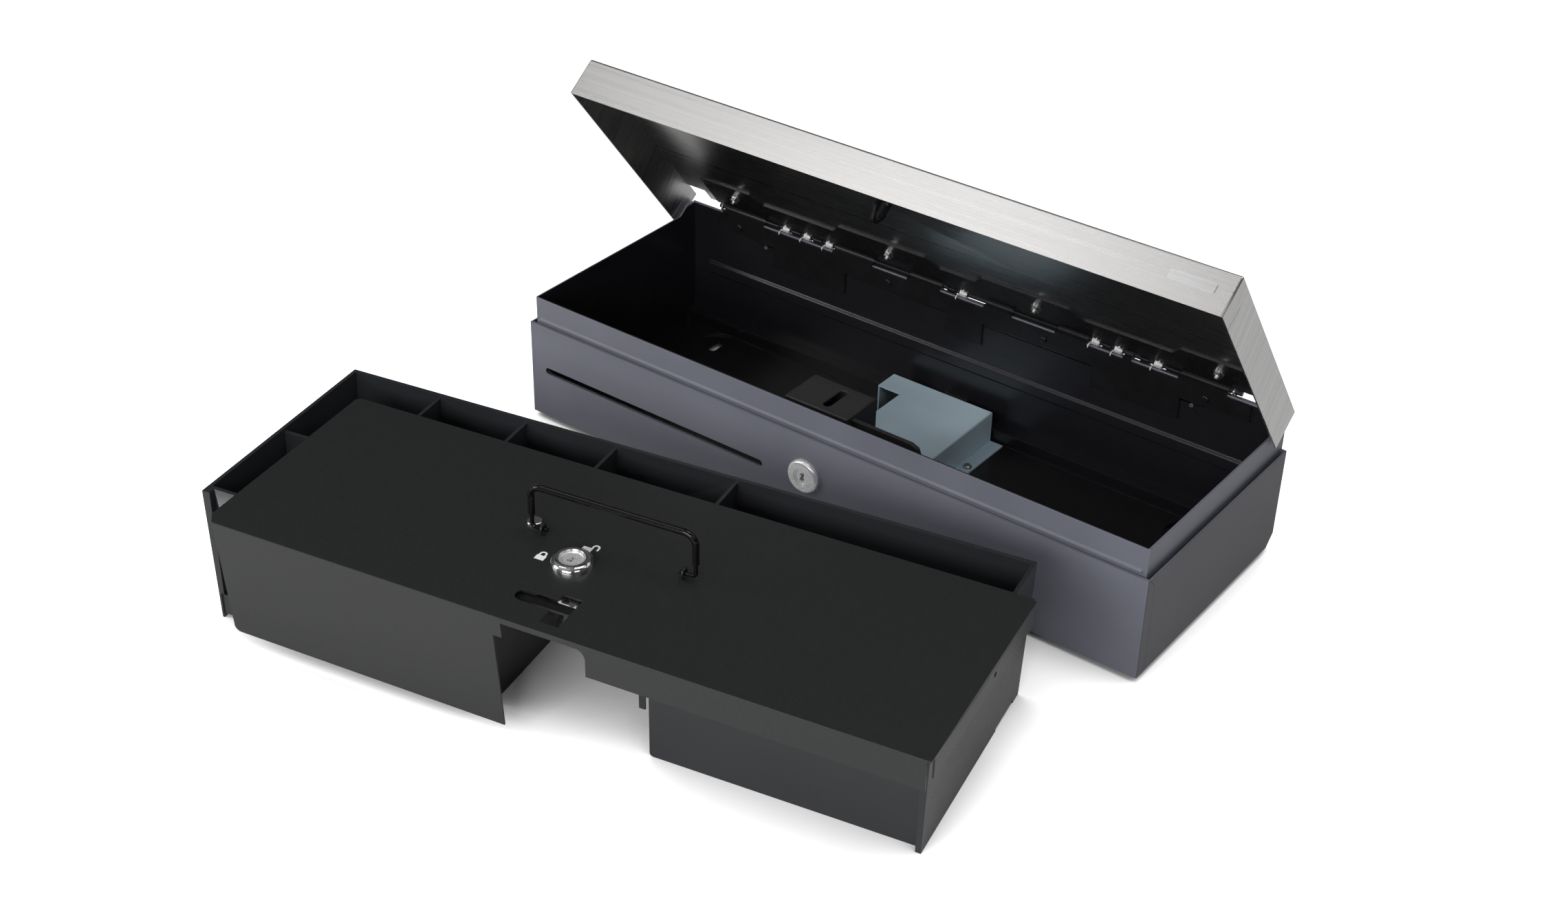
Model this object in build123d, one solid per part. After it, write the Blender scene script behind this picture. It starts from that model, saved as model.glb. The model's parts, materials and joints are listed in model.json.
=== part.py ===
from build123d import *
import math
import os

# Flip-top cash drawer: a folded steel casing with a spring-hinged steel lid, a latch with a
# solenoid and a key lock, and a lift-out till with its own lockable steel lid.
# Millimetres.  X runs along the drawer, Y points to its back, Z is up.  The origin is the
# centre of the casing's footprint on the counter.  The lid stands open and the till stands on
# the counter in front of the casing, which is the pose every joint counts from.

# ---------------------------------------------------------------- driving dimensions
CASE_LENGTH = 460.0
CASE_DEPTH = 170.0
FOOT_HEIGHT = 4.0
SHEET = 1.2
STEP_Z = 72.0            # top of the outer panels
RIM_Z = 90.5             # top of the inner tub's front and side walls
REAR_RIM_Z = 96.5        # top of the inner tub's rear wall
TUB_INSET = 3.3          # outer panel face to tub wall face

LID_OPEN_DEG = 52.2
LID_DEPTH_FRONT = 85.6   # lid front face, ahead of the origin
LID_BACK = 86.5
LID_TOP_Z = 99.3
LID_SKIRT = 26.2
HINGE_Y = 86.5
HINGE_Z = 97.8

TILL_LENGTH = 445.4
TILL_DEPTH = 149.7
TILL_HEIGHT = 88.6
TILL_WALL = 2.4
TILL_POSITION = (-20.0, -246.0)
TILL_TURN_DEG = 11.63

TILL_LID_LENGTH = 436.0
TILL_LID_DEPTH = 145.5
TILL_LID_OFFSET = (16.2, -28.5)
TILL_LID_TURN_DEG = -0.7
TILL_LID_SHEET = 1.0

LOCK_X = -5.0
LOCK_Z = 44.5
HOOK_SWING_DEG = 16.0
PLUNGER_PER_RADIAN = 17.0

# ---------------------------------------------------------------- derived places
HALF_X = CASE_LENGTH / 2
HALF_Y = CASE_DEPTH / 2
FLOOR_Z = FOOT_HEIGHT + SHEET
TUB_X = HALF_X - TUB_INSET
TUB_FRONT_Y = -(HALF_Y - TUB_INSET)
TUB_BACK_Y = 83.2
LID_PLATE_Z = LID_TOP_Z - SHEET
LID_SKIRT_Z = LID_TOP_Z - LID_SKIRT


# ---------------------------------------------------------------- helpers
def block(x0, x1, y0, y1, z0, z1):
    """A box given by its lowest and highest corners."""
    size = Box(x1 - x0, y1 - y0, z1 - z0)
    return Pos((x0 + x1) / 2, (y0 + y1) / 2, (z0 + z1) / 2) * size


def rod_x(x0, x1, y, z, radius):
    """A round bar along X."""
    return Pos((x0 + x1) / 2, y, z) * Rot(0, 90, 0) * Cylinder(radius, x1 - x0)


def rod_y(x, y0, y1, z, radius):
    """A round bar along Y."""
    return Pos(x, (y0 + y1) / 2, z) * Rot(90, 0, 0) * Cylinder(radius, y1 - y0)


def rod_z(x, y, z0, z1, radius):
    """A round bar along Z."""
    return Pos(x, y, (z0 + z1) / 2) * Cylinder(radius, z1 - z0)


def prism_x(points, x0, x1):
    """A (y, z) outline run from x0 to x1."""
    face = make_face(Polyline(*[(x0, y, z) for y, z in points], close=True))
    return extrude(face, amount=x1 - x0, dir=(1, 0, 0))


def prism_y(points, y0, y1):
    """An (x, z) outline run from y0 to y1."""
    face = make_face(Polyline(*[(x, y0, z) for x, z in points], close=True))
    return extrude(face, amount=y1 - y0, dir=(0, 1, 0))


def prism_z(points, z0, z1):
    """An (x, y) outline run from z0 to z1."""
    face = make_face(Polyline(*[(x, y, z0) for x, y in points], close=True))
    return extrude(face, amount=z1 - z0, dir=(0, 0, 1))


def stadium_z(x, y, z0, z1, width, length):
    """A round-ended slot body: width along X, length along Y."""
    reach = (length - width) / 2
    body = block(x - width / 2, x + width / 2, y - reach, y + reach, z0, z1)
    return body + rod_z(x, y - reach, z0, z1, width / 2) + rod_z(x, y + reach, z0, z1, width / 2)


def stadium_y(x0, x1, y0, y1, z, height):
    """A round-ended slot body along X, cut through in Y."""
    r = height / 2
    body = block(x0 + r, x1 - r, y0, y1, z - r, z + r)
    return body + rod_y(x0 + r, y0, y1, z, r) + rod_y(x1 - r, y0, y1, z, r)


def hexagon_y(x, y0, y1, z, across):
    """A hexagon bar along Y."""
    radius = across / math.sqrt(3)
    corners = [math.radians(60 * i) for i in range(6)]
    points = [(x + radius * math.cos(a), z + radius * math.sin(a)) for a in corners]
    return prism_y(points, y0, y1)


def hexagon_z(x, y, z0, z1, across):
    """A hexagon bar along Z."""
    radius = across / math.sqrt(3)
    corners = [math.radians(60 * i) for i in range(6)]
    points = [(x + radius * math.cos(a), y + radius * math.sin(a)) for a in corners]
    return prism_z(points, z0, z1)


def pan_head_z(x, y, z, radius, height):
    """A pan screw head standing on z, with a cross recess."""
    head = rod_z(x, y, z, z + height, radius)
    head = fillet(head.edges().group_by(Axis.Z)[-1], height * 0.45)
    for length, width in ((radius * 1.1, 0.5), (0.5, radius * 1.1)):
        head -= block(x - length / 2, x + length / 2, y - width / 2, y + width / 2,
                      z + height * 0.5, z + height + 1)
    return head


def keep(name, shape):
    """Write one node's solids to its own file."""
    solids = shape.solids() if hasattr(shape, "solids") else shape
    group = list(solids)
    export_step(group[0] if len(group) == 1 else Compound(children=group), f"parts/{name}.step")


def together(shapes):
    """Separate solids kept as one node."""
    solids = []
    for shape in shapes:
        solids.extend(shape.solids())
    return Compound(children=solids)


# ---------------------------------------------------------------- frames of the moved pieces
HINGE_LINE = Pos(0, HINGE_Y, HINGE_Z)
OPEN_LID = HINGE_LINE * Rot(-LID_OPEN_DEG, 0, 0) * Pos(0, -HINGE_Y, -HINGE_Z)
TILL = Pos(TILL_POSITION[0], TILL_POSITION[1], 0) * Rot(0, 0, TILL_TURN_DEG)
TILL_LID = TILL * Pos(TILL_LID_OFFSET[0], TILL_LID_OFFSET[1], TILL_HEIGHT) * Rot(0, 0, TILL_LID_TURN_DEG)

# ---------------------------------------------------------------- casing
MEDIA_SLOT = (-217.5, -37.5)
MEDIA_SLOT_Z = 39.2
MEDIA_SLOT_HEIGHT = 4.8
LOCK_HOLE_R = 9.6
MOUNT_X = 187.0
MOUNT_Y = 57.0
MOUNT_SLOT_WIDTH = 5.0
MOUNT_SLOT_LENGTH = 12.0
DIMPLE_R = 16.0
DIMPLE_DROP = 1.5
SILL_FRONT_Y = 73.5
SILL_Z = 14.0
SOCKET_X = (-10.0, 6.0)
SOCKET_Z = (10.1, 22.5)
SOCKET_GAP = 0.5
RETURN_Y = -77.0         # where the front panel's wrap ends on each side
RETURN_SLOPE = 7.0       # that edge leans forward over its last stretch
PANEL_SEAM = 0.3
SIDE_CHAMFER = 8.0       # cut corner at the foot of each side panel's rear edge
CLIMB_Y = (66.0, 74.0)   # where the tub's side walls climb to the rear rim
BEAD_PROUD = 1.0
BEAD_Z = (72.9, 73.6, 74.9, 75.6)
BAND_PROUD = 1.6
BAND_Z = (44.6, 46.3, 53.2, 55.0)
BAND_X = (-212.0, 205.0)
REAR_WALL_HOLES = [(-163.0, 80.5), (165.7, 80.5)]
REAR_WALL_HOLE_R = 1.2
REAR_PANEL_TOP = 93.2
LEDGE_HALF = 206.0       # the rear panel's top folds back under the hinge
LEDGE_BACK = 88.6
LEDGE_TOP = 94.4
CASING_SCREW_X = (-205.0, -70.0, 70.0, 205.0)
CASING_SCREW_Z = 28.0
CASING_SCREW_R = 3.0
FOOT_PLACES = [(-212.0, -32.0), (-212.0, 32.0), (212.0, -32.0), (212.0, 32.0)]
FOOT_R = 9.0
CUT = 1.0                # how far a cutting shape runs past the face it cuts


def make_inner_tub():
    """Floor and four walls that hold the till, with a ledge along the rear wall."""
    outer = block(-TUB_X, TUB_X, TUB_FRONT_Y, TUB_BACK_Y, FOOT_HEIGHT, RIM_Z)
    outer += block(-TUB_X, TUB_X, TUB_BACK_Y - SHEET, TUB_BACK_Y, FOOT_HEIGHT, REAR_RIM_Z)
    # the side walls climb to the rear rim over their last stretch
    climb = [(CLIMB_Y[0], RIM_Z), (TUB_BACK_Y, RIM_Z), (TUB_BACK_Y, REAR_RIM_Z), (CLIMB_Y[1], REAR_RIM_Z)]
    outer += prism_x(climb, -TUB_X, -TUB_X + SHEET)
    outer += prism_x(climb, TUB_X - SHEET, TUB_X)
    tub = outer - block(-TUB_X + SHEET, TUB_X - SHEET, TUB_FRONT_Y + SHEET, TUB_BACK_Y - SHEET,
                        FLOOR_Z, REAR_RIM_Z + CUT)
    # pressed bead along the foot of the front flange
    crest = TUB_FRONT_Y - BEAD_PROUD
    bead = list(zip((TUB_FRONT_Y, crest, crest, TUB_FRONT_Y), BEAD_Z))
    tub += prism_x(bead, -TUB_X + 3, TUB_X - 3)
    # pressed band on the rear wall
    inner_back = TUB_BACK_Y - SHEET
    crest = inner_back - BAND_PROUD
    band = list(zip((inner_back, crest, crest, inner_back), BAND_Z))
    tub += prism_x(band, *BAND_X)
    # folded sill along the back of the floor
    side = TUB_X - SHEET
    tub += block(-side, side, SILL_FRONT_Y, SILL_FRONT_Y + SHEET, FLOOR_Z, SILL_Z)
    tub += block(-side, side, SILL_FRONT_Y, inner_back, SILL_Z - SHEET, SILL_Z)
    # dimpled mounting slots in the floor
    for x in (-MOUNT_X, MOUNT_X):
        for y in (-MOUNT_Y, MOUNT_Y):
            tub += rod_z(x, y, FOOT_HEIGHT - DIMPLE_DROP, FLOOR_Z, DIMPLE_R + SHEET)
            tub -= rod_z(x, y, FLOOR_Z - DIMPLE_DROP, FLOOR_Z + CUT, DIMPLE_R)
            tub -= stadium_z(x, y, 0, FLOOR_Z + CUT, MOUNT_SLOT_WIDTH, MOUNT_SLOT_LENGTH)
    # openings in the front and rear walls
    tub -= stadium_y(MEDIA_SLOT[0] - 1, MEDIA_SLOT[1] + 1, TUB_FRONT_Y - 2, TUB_FRONT_Y + 3,
                     MEDIA_SLOT_Z, MEDIA_SLOT_HEIGHT + 2)
    tub -= rod_y(LOCK_X, TUB_FRONT_Y - 2, TUB_FRONT_Y + 3, LOCK_Z, LOCK_HOLE_R)
    tub -= socket_opening(SILL_FRONT_Y - CUT, TUB_BACK_Y + CUT, FLOOR_Z + 2)
    for x, z in REAR_WALL_HOLES:
        tub -= rod_y(x, inner_back - CUT, TUB_BACK_Y + CUT, z, REAR_WALL_HOLE_R)
    return tub


def socket_opening(y0, y1, z0):
    """What the cable socket's place takes out of a wall, from z0 up."""
    return block(SOCKET_X[0] - SOCKET_GAP, SOCKET_X[1] + SOCKET_GAP, y0, y1, z0, SOCKET_Z[1] + SOCKET_GAP)


def make_front_panel():
    """Outer front with the media slot and lock hole, wrapping onto both sides."""
    front = block(-HALF_X, HALF_X, -HALF_Y, -HALF_Y + SHEET, FOOT_HEIGHT, STEP_Z)
    lip_back = TUB_FRONT_Y - 1.2
    front += block(-HALF_X + SHEET, HALF_X - SHEET, -HALF_Y, lip_back, STEP_Z - SHEET, STEP_Z)
    front += block(-TUB_X, TUB_X, -HALF_Y, TUB_FRONT_Y, FOOT_HEIGHT, FLOOR_Z)
    wrap = [(-HALF_Y, FOOT_HEIGHT), (RETURN_Y, FOOT_HEIGHT), (RETURN_Y, STEP_Z - RETURN_SLOPE),
            (RETURN_Y - RETURN_SLOPE, STEP_Z), (-HALF_Y, STEP_Z)]
    front += prism_x(wrap, -HALF_X, -HALF_X + SHEET)
    front += prism_x(wrap, HALF_X - SHEET, HALF_X)
    front = fillet(front.edges().filter_by(Axis.Z).group_by(Axis.Y)[0], 0.9)
    front -= stadium_y(MEDIA_SLOT[0], MEDIA_SLOT[1], -HALF_Y - 1, -HALF_Y + 3,
                       MEDIA_SLOT_Z, MEDIA_SLOT_HEIGHT)
    front -= rod_y(LOCK_X, -HALF_Y - 1, -HALF_Y + 3, LOCK_Z, LOCK_HOLE_R)
    return front


def make_side_panel(side):
    """Outer side panel; side is -1 for the left and 1 for the right."""
    seam_y = RETURN_Y + PANEL_SEAM
    outline = [(seam_y, FOOT_HEIGHT), (HALF_Y - SIDE_CHAMFER, FOOT_HEIGHT),
               (HALF_Y, FOOT_HEIGHT + SIDE_CHAMFER), (HALF_Y, STEP_Z),
               (seam_y - RETURN_SLOPE, STEP_Z), (seam_y, STEP_Z - RETURN_SLOPE)]
    x0, x1 = sorted((side * HALF_X, side * (HALF_X - SHEET)))
    panel = prism_x(outline, x0, x1)
    foot0, foot1 = sorted((side * (HALF_X - SHEET), side * TUB_X))
    panel += block(foot0, foot1, seam_y, HALF_Y - SIDE_CHAMFER, FOOT_HEIGHT, FLOOR_Z)
    return panel


def make_rear_panel():
    """Outer back, lower than the hinge, with the socket opening."""
    low = FOOT_HEIGHT + SIDE_CHAMFER
    edge = HALF_X - SHEET
    panel = block(-edge, edge, HALF_Y - SHEET, HALF_Y, low, STEP_Z)
    panel += block(-TUB_X, TUB_X, HALF_Y - SHEET, HALF_Y, FOOT_HEIGHT, REAR_PANEL_TOP)
    panel += block(-TUB_X, TUB_X, TUB_BACK_Y, HALF_Y, FOOT_HEIGHT, FLOOR_Z)
    panel += block(-LEDGE_HALF, LEDGE_HALF, HALF_Y - SHEET, LEDGE_BACK, REAR_PANEL_TOP, LEDGE_TOP)
    return panel - socket_opening(HALF_Y - 3, HALF_Y + CUT, SOCKET_Z[0] - SOCKET_GAP)


def make_rubber_feet():
    """Four round feet under the casing, clear of the mounting dimples."""
    feet = []
    for x, y in FOOT_PLACES:
        foot = rod_z(x, y, 0, FOOT_HEIGHT, FOOT_R)
        feet.append(fillet(foot.edges().group_by(Axis.Z)[0], 1.2))
    return together(feet)


def make_casing_screws():
    """Heads of the pan screws that hold the rear panel, with cross recesses."""
    screws = []
    r = CASING_SCREW_R
    recess = Box(r * 1.1, 1.6, 0.5) + Box(0.5, 1.6, r * 1.1)
    for x in CASING_SCREW_X:
        head = rod_y(x, HALF_Y, HALF_Y + 1.6, CASING_SCREW_Z, r)
        head = fillet(head.edges().group_by(Axis.Y)[-1], 0.8)
        screws.append(head - Pos(x, HALF_Y + 1.6, CASING_SCREW_Z) * recess)
    return together(screws)


# ---------------------------------------------------------------- front lock
LOCK_HEAD_R = 11.2
LOCK_HEAD_PROUD = 3.4
LOCK_BODY_R = 9.4
LOCK_BODY_END = -62.3
PLUG_R = 6.0
PLUG_BORE_R = 6.08
CAM_FRONT = -62.0
CAM_THICK = 2.0
CAM_REACH = 13.0
KEYWAY_DEPTH = 9.0
KEY_SLOT = (1.8, 6.0)
KEY_STEP_WIDTH = 1.6
KEY_STEPS = ((1.3, -1.2, 1.8), (-1.2, 1.3, 1.5))
FRONT_KEY_LEAN_DEG = 18.0
TILL_KEY_LEAN_DEG = -35.0


def make_front_lock_barrel():
    """Chrome-headed barrel that clamps the front panel and the tub wall."""
    head = rod_y(LOCK_X, -HALF_Y - LOCK_HEAD_PROUD, -HALF_Y, LOCK_Z, LOCK_HEAD_R)
    head = fillet(head.edges().group_by(Axis.Y)[0], 2.2)
    body = rod_y(LOCK_X, -HALF_Y, LOCK_BODY_END, LOCK_Z, LOCK_BODY_R)
    flat = LOCK_BODY_R - 1.4
    body -= block(LOCK_X + flat, LOCK_X + 12, -HALF_Y + 2, LOCK_BODY_END + 1, LOCK_Z - 12, LOCK_Z + 12)
    body -= block(LOCK_X - 12, LOCK_X - flat, -HALF_Y + 2, LOCK_BODY_END + 1, LOCK_Z - 12, LOCK_Z + 12)
    barrel = head + body
    barrel -= rod_y(LOCK_X, -HALF_Y - LOCK_HEAD_PROUD - 1, LOCK_BODY_END + 1, LOCK_Z, PLUG_BORE_R)
    return barrel


def make_front_lock_nut():
    """Thin hexagon nut behind the tub wall."""
    back = TUB_FRONT_Y + SHEET
    nut = hexagon_y(LOCK_X, back, back + 4.0, LOCK_Z, 25.0)
    return nut - rod_y(LOCK_X, back - 1, back + 5, LOCK_Z, LOCK_BODY_R)


def make_front_lock_plug():
    """Turning plug with its keyway."""
    face = -HALF_Y - LOCK_HEAD_PROUD + 0.4
    plug = rod_y(LOCK_X, face, CAM_FRONT, LOCK_Z, PLUG_R)
    plug -= rod_y(LOCK_X, face - 1, face + 0.5, LOCK_Z, PLUG_R - 1.0)
    return plug - Pos(LOCK_X, face, LOCK_Z) * Rot(0, FRONT_KEY_LEAN_DEG, 0) * Rot(90, 0, 0) * keyway()


def keyway():
    """The key's slot with a step on each side, cutting down from z = 0."""
    slot = Pos(0, 0, -KEYWAY_DEPTH / 2) * Box(KEY_SLOT[0], KEY_SLOT[1], KEYWAY_DEPTH)
    for x, y, height in KEY_STEPS:
        slot += Pos(x, y, -KEYWAY_DEPTH / 2) * Box(KEY_STEP_WIDTH, height, KEYWAY_DEPTH)
    return slot


def make_front_lock_cam():
    """Flat cam on the plug's rear end, pointing down when the drawer is on line."""
    tip_z = LOCK_Z - CAM_REACH
    outline = [(LOCK_X - 5.0, LOCK_Z), (LOCK_X - 4.0, tip_z), (LOCK_X + 4.0, tip_z), (LOCK_X + 5.0, LOCK_Z)]
    back = CAM_FRONT + CAM_THICK
    return prism_y(outline, CAM_FRONT, back) + rod_y(LOCK_X, CAM_FRONT, back, LOCK_Z, 6.4)


def make_front_cam_screw():
    """Screw that holds the cam on the plug."""
    front = CAM_FRONT + CAM_THICK
    back = front + 1.8
    screw = rod_y(LOCK_X, front, back, LOCK_Z, 3.4)
    return screw - block(LOCK_X - 4, LOCK_X + 4, back - 0.6, back + CUT, LOCK_Z - 0.4, LOCK_Z + 0.4)


# ---------------------------------------------------------------- latch
HOUSING_X = (-35.0, 12.0)
HOUSING_Y = (-66.5, -34.5)
HOUSING_TOP = 82.0
HOUSING_WALL = 2.0
HOUSING_ROOF = 1.5
WING_X = 62.0
WING_Y = (-61.5, -58.5)
WING_TOP = 79.5
STRIKER_X = -8.0
STRIKER_SLOT_Y = (-61.5, -39.5)
STRIKER_SLOT_WIDTH = 5.6
HOOK_PIVOT = (-22.0, 50.0)
HOOK_Y = (-51.9, -48.9)
HOOK_MID_Y = sum(HOOK_Y) / 2
HOOK_TAIL = 17.0
PIVOT_R = 2.0
PLUNGER_Z = HOOK_PIVOT[1] - HOOK_TAIL
PLUNGER_PULL = PLUNGER_PER_RADIAN * math.radians(HOOK_SWING_DEG)
PIN_SLOT_R = 1.6
NOSE_Z = (74.4, 77.4)
NOSE_TIP_X = -4.5
WING_FOOT = 9.0
WING_FOOT_THICK = 2.5
WING_HOLE_X = (24.0, 50.0)
WING_HOLE_R = 1.7
SIDE_HOLE_R = 6.0


def make_latch_housing():
    """Black moulding: a tower that the lid's striker drops into, and a wing beside it."""
    x0, x1 = HOUSING_X
    y0, y1 = HOUSING_Y
    tower = block(x0, x1, y0, y1, FLOOR_Z, HOUSING_TOP)
    tower = fillet(tower.edges().group_by(Axis.Z)[-1], 1.2)
    w = HOUSING_WALL
    tower -= block(x0 + w, x1 - w, y0 + w, y1 - w, FLOOR_Z - CUT, HOUSING_TOP - HOUSING_ROOF)
    slot_mid = sum(STRIKER_SLOT_Y) / 2
    tower -= stadium_z(STRIKER_X, slot_mid, HOUSING_TOP - 4, HOUSING_TOP + CUT, STRIKER_SLOT_WIDTH,
                       STRIKER_SLOT_Y[1] - STRIKER_SLOT_Y[0])
    wing = [(x1, FLOOR_Z), (WING_X, FLOOR_Z), (WING_X, WING_TOP - 7.0),
            (WING_X - 2.0, WING_TOP - 2.0), (WING_X - 7.0, WING_TOP), (x1, WING_TOP)]
    tower += prism_y(wing, WING_Y[0], WING_Y[1])
    tower += block(x1, WING_X, WING_Y[1], WING_Y[1] + WING_FOOT, FLOOR_Z, FLOOR_Z + WING_FOOT_THICK)
    tower -= rod_y(LOCK_X, y0 - 1, y0 + w + 1, LOCK_Z, LOCK_BODY_R + 0.4)
    tower -= rod_y(HOOK_PIVOT[0], y0 - 1, y1 + 1, HOOK_PIVOT[1], PIVOT_R + 0.02)
    tower -= rod_x(x0 - 1, x0 + w + 1, HOOK_MID_Y, PLUNGER_Z, SIDE_HOLE_R)
    tower -= rod_x(x1 - w - 1, x1 + 1, HOOK_MID_Y, PLUNGER_Z, SIDE_HOLE_R)
    for x in WING_HOLE_X:
        tower -= rod_z(x, WING_Y[1] + WING_FOOT / 2, FLOOR_Z - 1, FLOOR_Z + 4, WING_HOLE_R)
    return tower


def make_latch_pivot_pin():
    """Pin across the tower that the hook turns on."""
    return rod_y(HOOK_PIVOT[0], HOUSING_Y[0], HOUSING_Y[1], HOOK_PIVOT[1], PIVOT_R)


def released(shape):
    """Turn a piece drawn latched to the hook's released place."""
    x, z = HOOK_PIVOT
    return Pos(x, 0, z) * Rot(0, -HOOK_SWING_DEG, 0) * Pos(-x, 0, -z) * shape


def make_latch_hook():
    """Steel hook: the nose holds the striker's eye and the tail is pulled by the solenoid."""
    x, z = HOOK_PIVOT
    nose_low, nose_high = NOSE_Z
    y0, y1 = HOOK_Y
    upper = [(x - 4, z), (x - 4, nose_high - 1.5), (x - 2.5, nose_high), (STRIKER_X, nose_high),
             (NOSE_TIP_X, nose_low + 0.6), (NOSE_TIP_X, nose_low), (x + 5, nose_low),
             (x + 4, nose_low - 2), (x + 4, z)]
    hook = prism_y(upper, y0, y1)
    hook += block(x - 3.2, x + 3.2, y0, y1, PLUNGER_Z - 4.0, z)
    hook += rod_y(x, y0 - 1.5, y1 + 1.5, z, 4.6)
    hook -= rod_y(x, y0 - 3, y1 + 3, z, PIVOT_R + 0.05)
    slot = block(x - PIN_SLOT_R, x + PIN_SLOT_R, y0 - CUT, y1 + CUT, PLUNGER_Z - 1.2, PLUNGER_Z + 1.2)
    for dz in (-1.2, 1.2):
        slot += rod_y(x, y0 - CUT, y1 + CUT, PLUNGER_Z + dz, PIN_SLOT_R)
    return released(hook - slot)


COIL_X = (19.5, 56.5)
COIL_R = 6.4
PLUNGER_R = 4.0
PLUNGER_END_X = 44.0
FORK_LENGTH = 5.0
FORK_SLOT = 7.0
PLUNGER_PIN_R = 1.2
FRAME_HALF = 8.5
FRAME_SHEET = 1.5
FRAME_DEPTH = 16.0


def make_solenoid_frame():
    """Bent steel frame of the solenoid, screwed to the wing."""
    low, high = PLUNGER_Z - FRAME_HALF, PLUNGER_Z + FRAME_HALF
    x0, x1 = COIL_X
    t = FRAME_SHEET
    frame = block(x0 - t, x1 + t, WING_Y[1], WING_Y[1] + t, low, high)
    for a, b in ((x0 - t, x0), (x1, x1 + t)):
        frame += block(a, b, WING_Y[1], WING_Y[1] + FRAME_DEPTH, low, high)
    frame -= rod_x(x0 - 2, x0 + 1, HOOK_MID_Y, PLUNGER_Z, PLUNGER_R + 0.3)
    return frame


def make_solenoid_coil():
    """Taped coil on its bobbin."""
    x0, x1 = COIL_X
    coil = rod_x(x0, x1, HOOK_MID_Y, PLUNGER_Z, COIL_R - 0.6)
    for a, b in ((x0, x0 + 1.5), (x1 - 1.5, x1)):
        coil += rod_x(a, b, HOOK_MID_Y, PLUNGER_Z, COIL_R)
    return coil - rod_x(x0 - 1, x1 - 6.0, HOOK_MID_Y, PLUNGER_Z, PLUNGER_R + 0.1)


def make_solenoid_plunger():
    """Plunger with a forked end for the hook's tail, shown pulled in."""
    x = HOOK_PIVOT[0]
    body = rod_x(x - FORK_LENGTH, PLUNGER_END_X, HOOK_MID_Y, PLUNGER_Z, PLUNGER_R)
    body -= block(x - FORK_LENGTH - 1, x + FORK_SLOT, HOOK_Y[0] - 0.3, HOOK_Y[1] + 0.3,
                  PLUNGER_Z - 6, PLUNGER_Z + 6)
    body -= rod_y(x, HOOK_MID_Y - 6, HOOK_MID_Y + 6, PLUNGER_Z, PLUNGER_PIN_R)
    return Pos(PLUNGER_PULL, 0, 0) * body


def make_plunger_pin():
    """Cross pin through the plunger's fork."""
    pin = rod_y(HOOK_PIVOT[0], HOOK_MID_Y - 3.6, HOOK_MID_Y + 3.6, PLUNGER_Z, PLUNGER_PIN_R)
    return Pos(PLUNGER_PULL, 0, 0) * pin


SWITCH_X = (2.4, 10.0)
SWITCH_Y = (-60.0, -40.5)
SWITCH_Z = (54.0, 64.0)
SWITCH_WELL_Y = (-55.0, -51.8)
SWITCH_WELL_DEPTH = 2.5
SWITCH_LEGS_Y = (-56.0, -50.0, -44.0)
SWITCH_LEG = 4.0


def make_micro_switch():
    """Lid-closed switch on the tower's inner wall."""
    switch = block(SWITCH_X[0], SWITCH_X[1], SWITCH_Y[0], SWITCH_Y[1], SWITCH_Z[0], SWITCH_Z[1])
    x = sum(SWITCH_X) / 2
    switch -= block(x - 1.3, x + 1.3, *SWITCH_WELL_Y, SWITCH_Z[1] - SWITCH_WELL_DEPTH, SWITCH_Z[1] + 1)
    for y in SWITCH_LEGS_Y:
        switch += block(x - 0.4, x + 0.4, y - 1.5, y + 1.5, SWITCH_Z[0] - SWITCH_LEG, SWITCH_Z[0])
    return switch


def make_switch_button():
    """The switch's small plunger."""
    x = sum(SWITCH_X) / 2
    front, back = SWITCH_WELL_Y
    return block(x - 1.2, x + 1.2, front + 0.1, back - 0.1, SWITCH_Z[1] - 0.9, SWITCH_Z[1] + 1.3)


# ---------------------------------------------------------------- electronics and their cover
COVER_TOP = 28.3
COVER_LEFT = -45.2
COVER_RIGHT = 33.1
COVER_STEP_X = -27.5
COVER_STEP_Y = 52.7
COVER_FRONT = -28.0
COVER_BACK = 71.4
COVER_FOOT_X = 42.6
COVER_SCREW_X = 38.6
COVER_SCREWS_Y = (-18.0, 35.0)


def make_mechanism_cover():
    """Folded cover over the interface board, with a foot along its right side."""
    outline = [(COVER_LEFT, COVER_STEP_Y), (COVER_STEP_X, COVER_STEP_Y), (COVER_STEP_X, COVER_FRONT),
               (COVER_RIGHT, COVER_FRONT), (COVER_RIGHT, COVER_BACK), (COVER_LEFT, COVER_BACK)]
    cover = prism_z(outline, COVER_TOP - SHEET, COVER_TOP)
    cover += block(COVER_RIGHT - SHEET, COVER_RIGHT, COVER_FRONT, COVER_BACK, FLOOR_Z, COVER_TOP)
    cover += block(COVER_LEFT, COVER_LEFT + SHEET, COVER_STEP_Y, COVER_BACK, FLOOR_Z, COVER_TOP)
    cover += block(COVER_RIGHT - SHEET, COVER_FOOT_X, COVER_FRONT, COVER_BACK, FLOOR_Z, FLOOR_Z + SHEET)
    top_edges = cover.edges().filter_by(Axis.Y).group_by(Axis.Z)[-1]
    return fillet(top_edges.group_by(Axis.X)[-1], 1.0)


def make_cover_screws():
    """Pan screws through the cover's foot."""
    return together([pan_head_z(COVER_SCREW_X, y, FLOOR_Z + SHEET, 2.9, 2.0) for y in COVER_SCREWS_Y])


BOARD_X = (-24.0, 28.0)
BOARD_Y = (20.0, 70.0)
BOARD_Z = 8.5
BOARD_THICK = 1.6
TERMINALS_X = (8.0, 26.0)
TERMINALS_Y = (22.0, 31.0)
TERMINALS_TOP = 19.5
SOCKET_FRONT_Y = 66.0
SOCKET_BORE_Y = 74.0
LOOM_R = 1.8
LOOM_BENDS = ((20.0, 0.0, 10.0), (25.0, -26.0, 10.0), (35.0, -37.0, 20.0))


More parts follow.
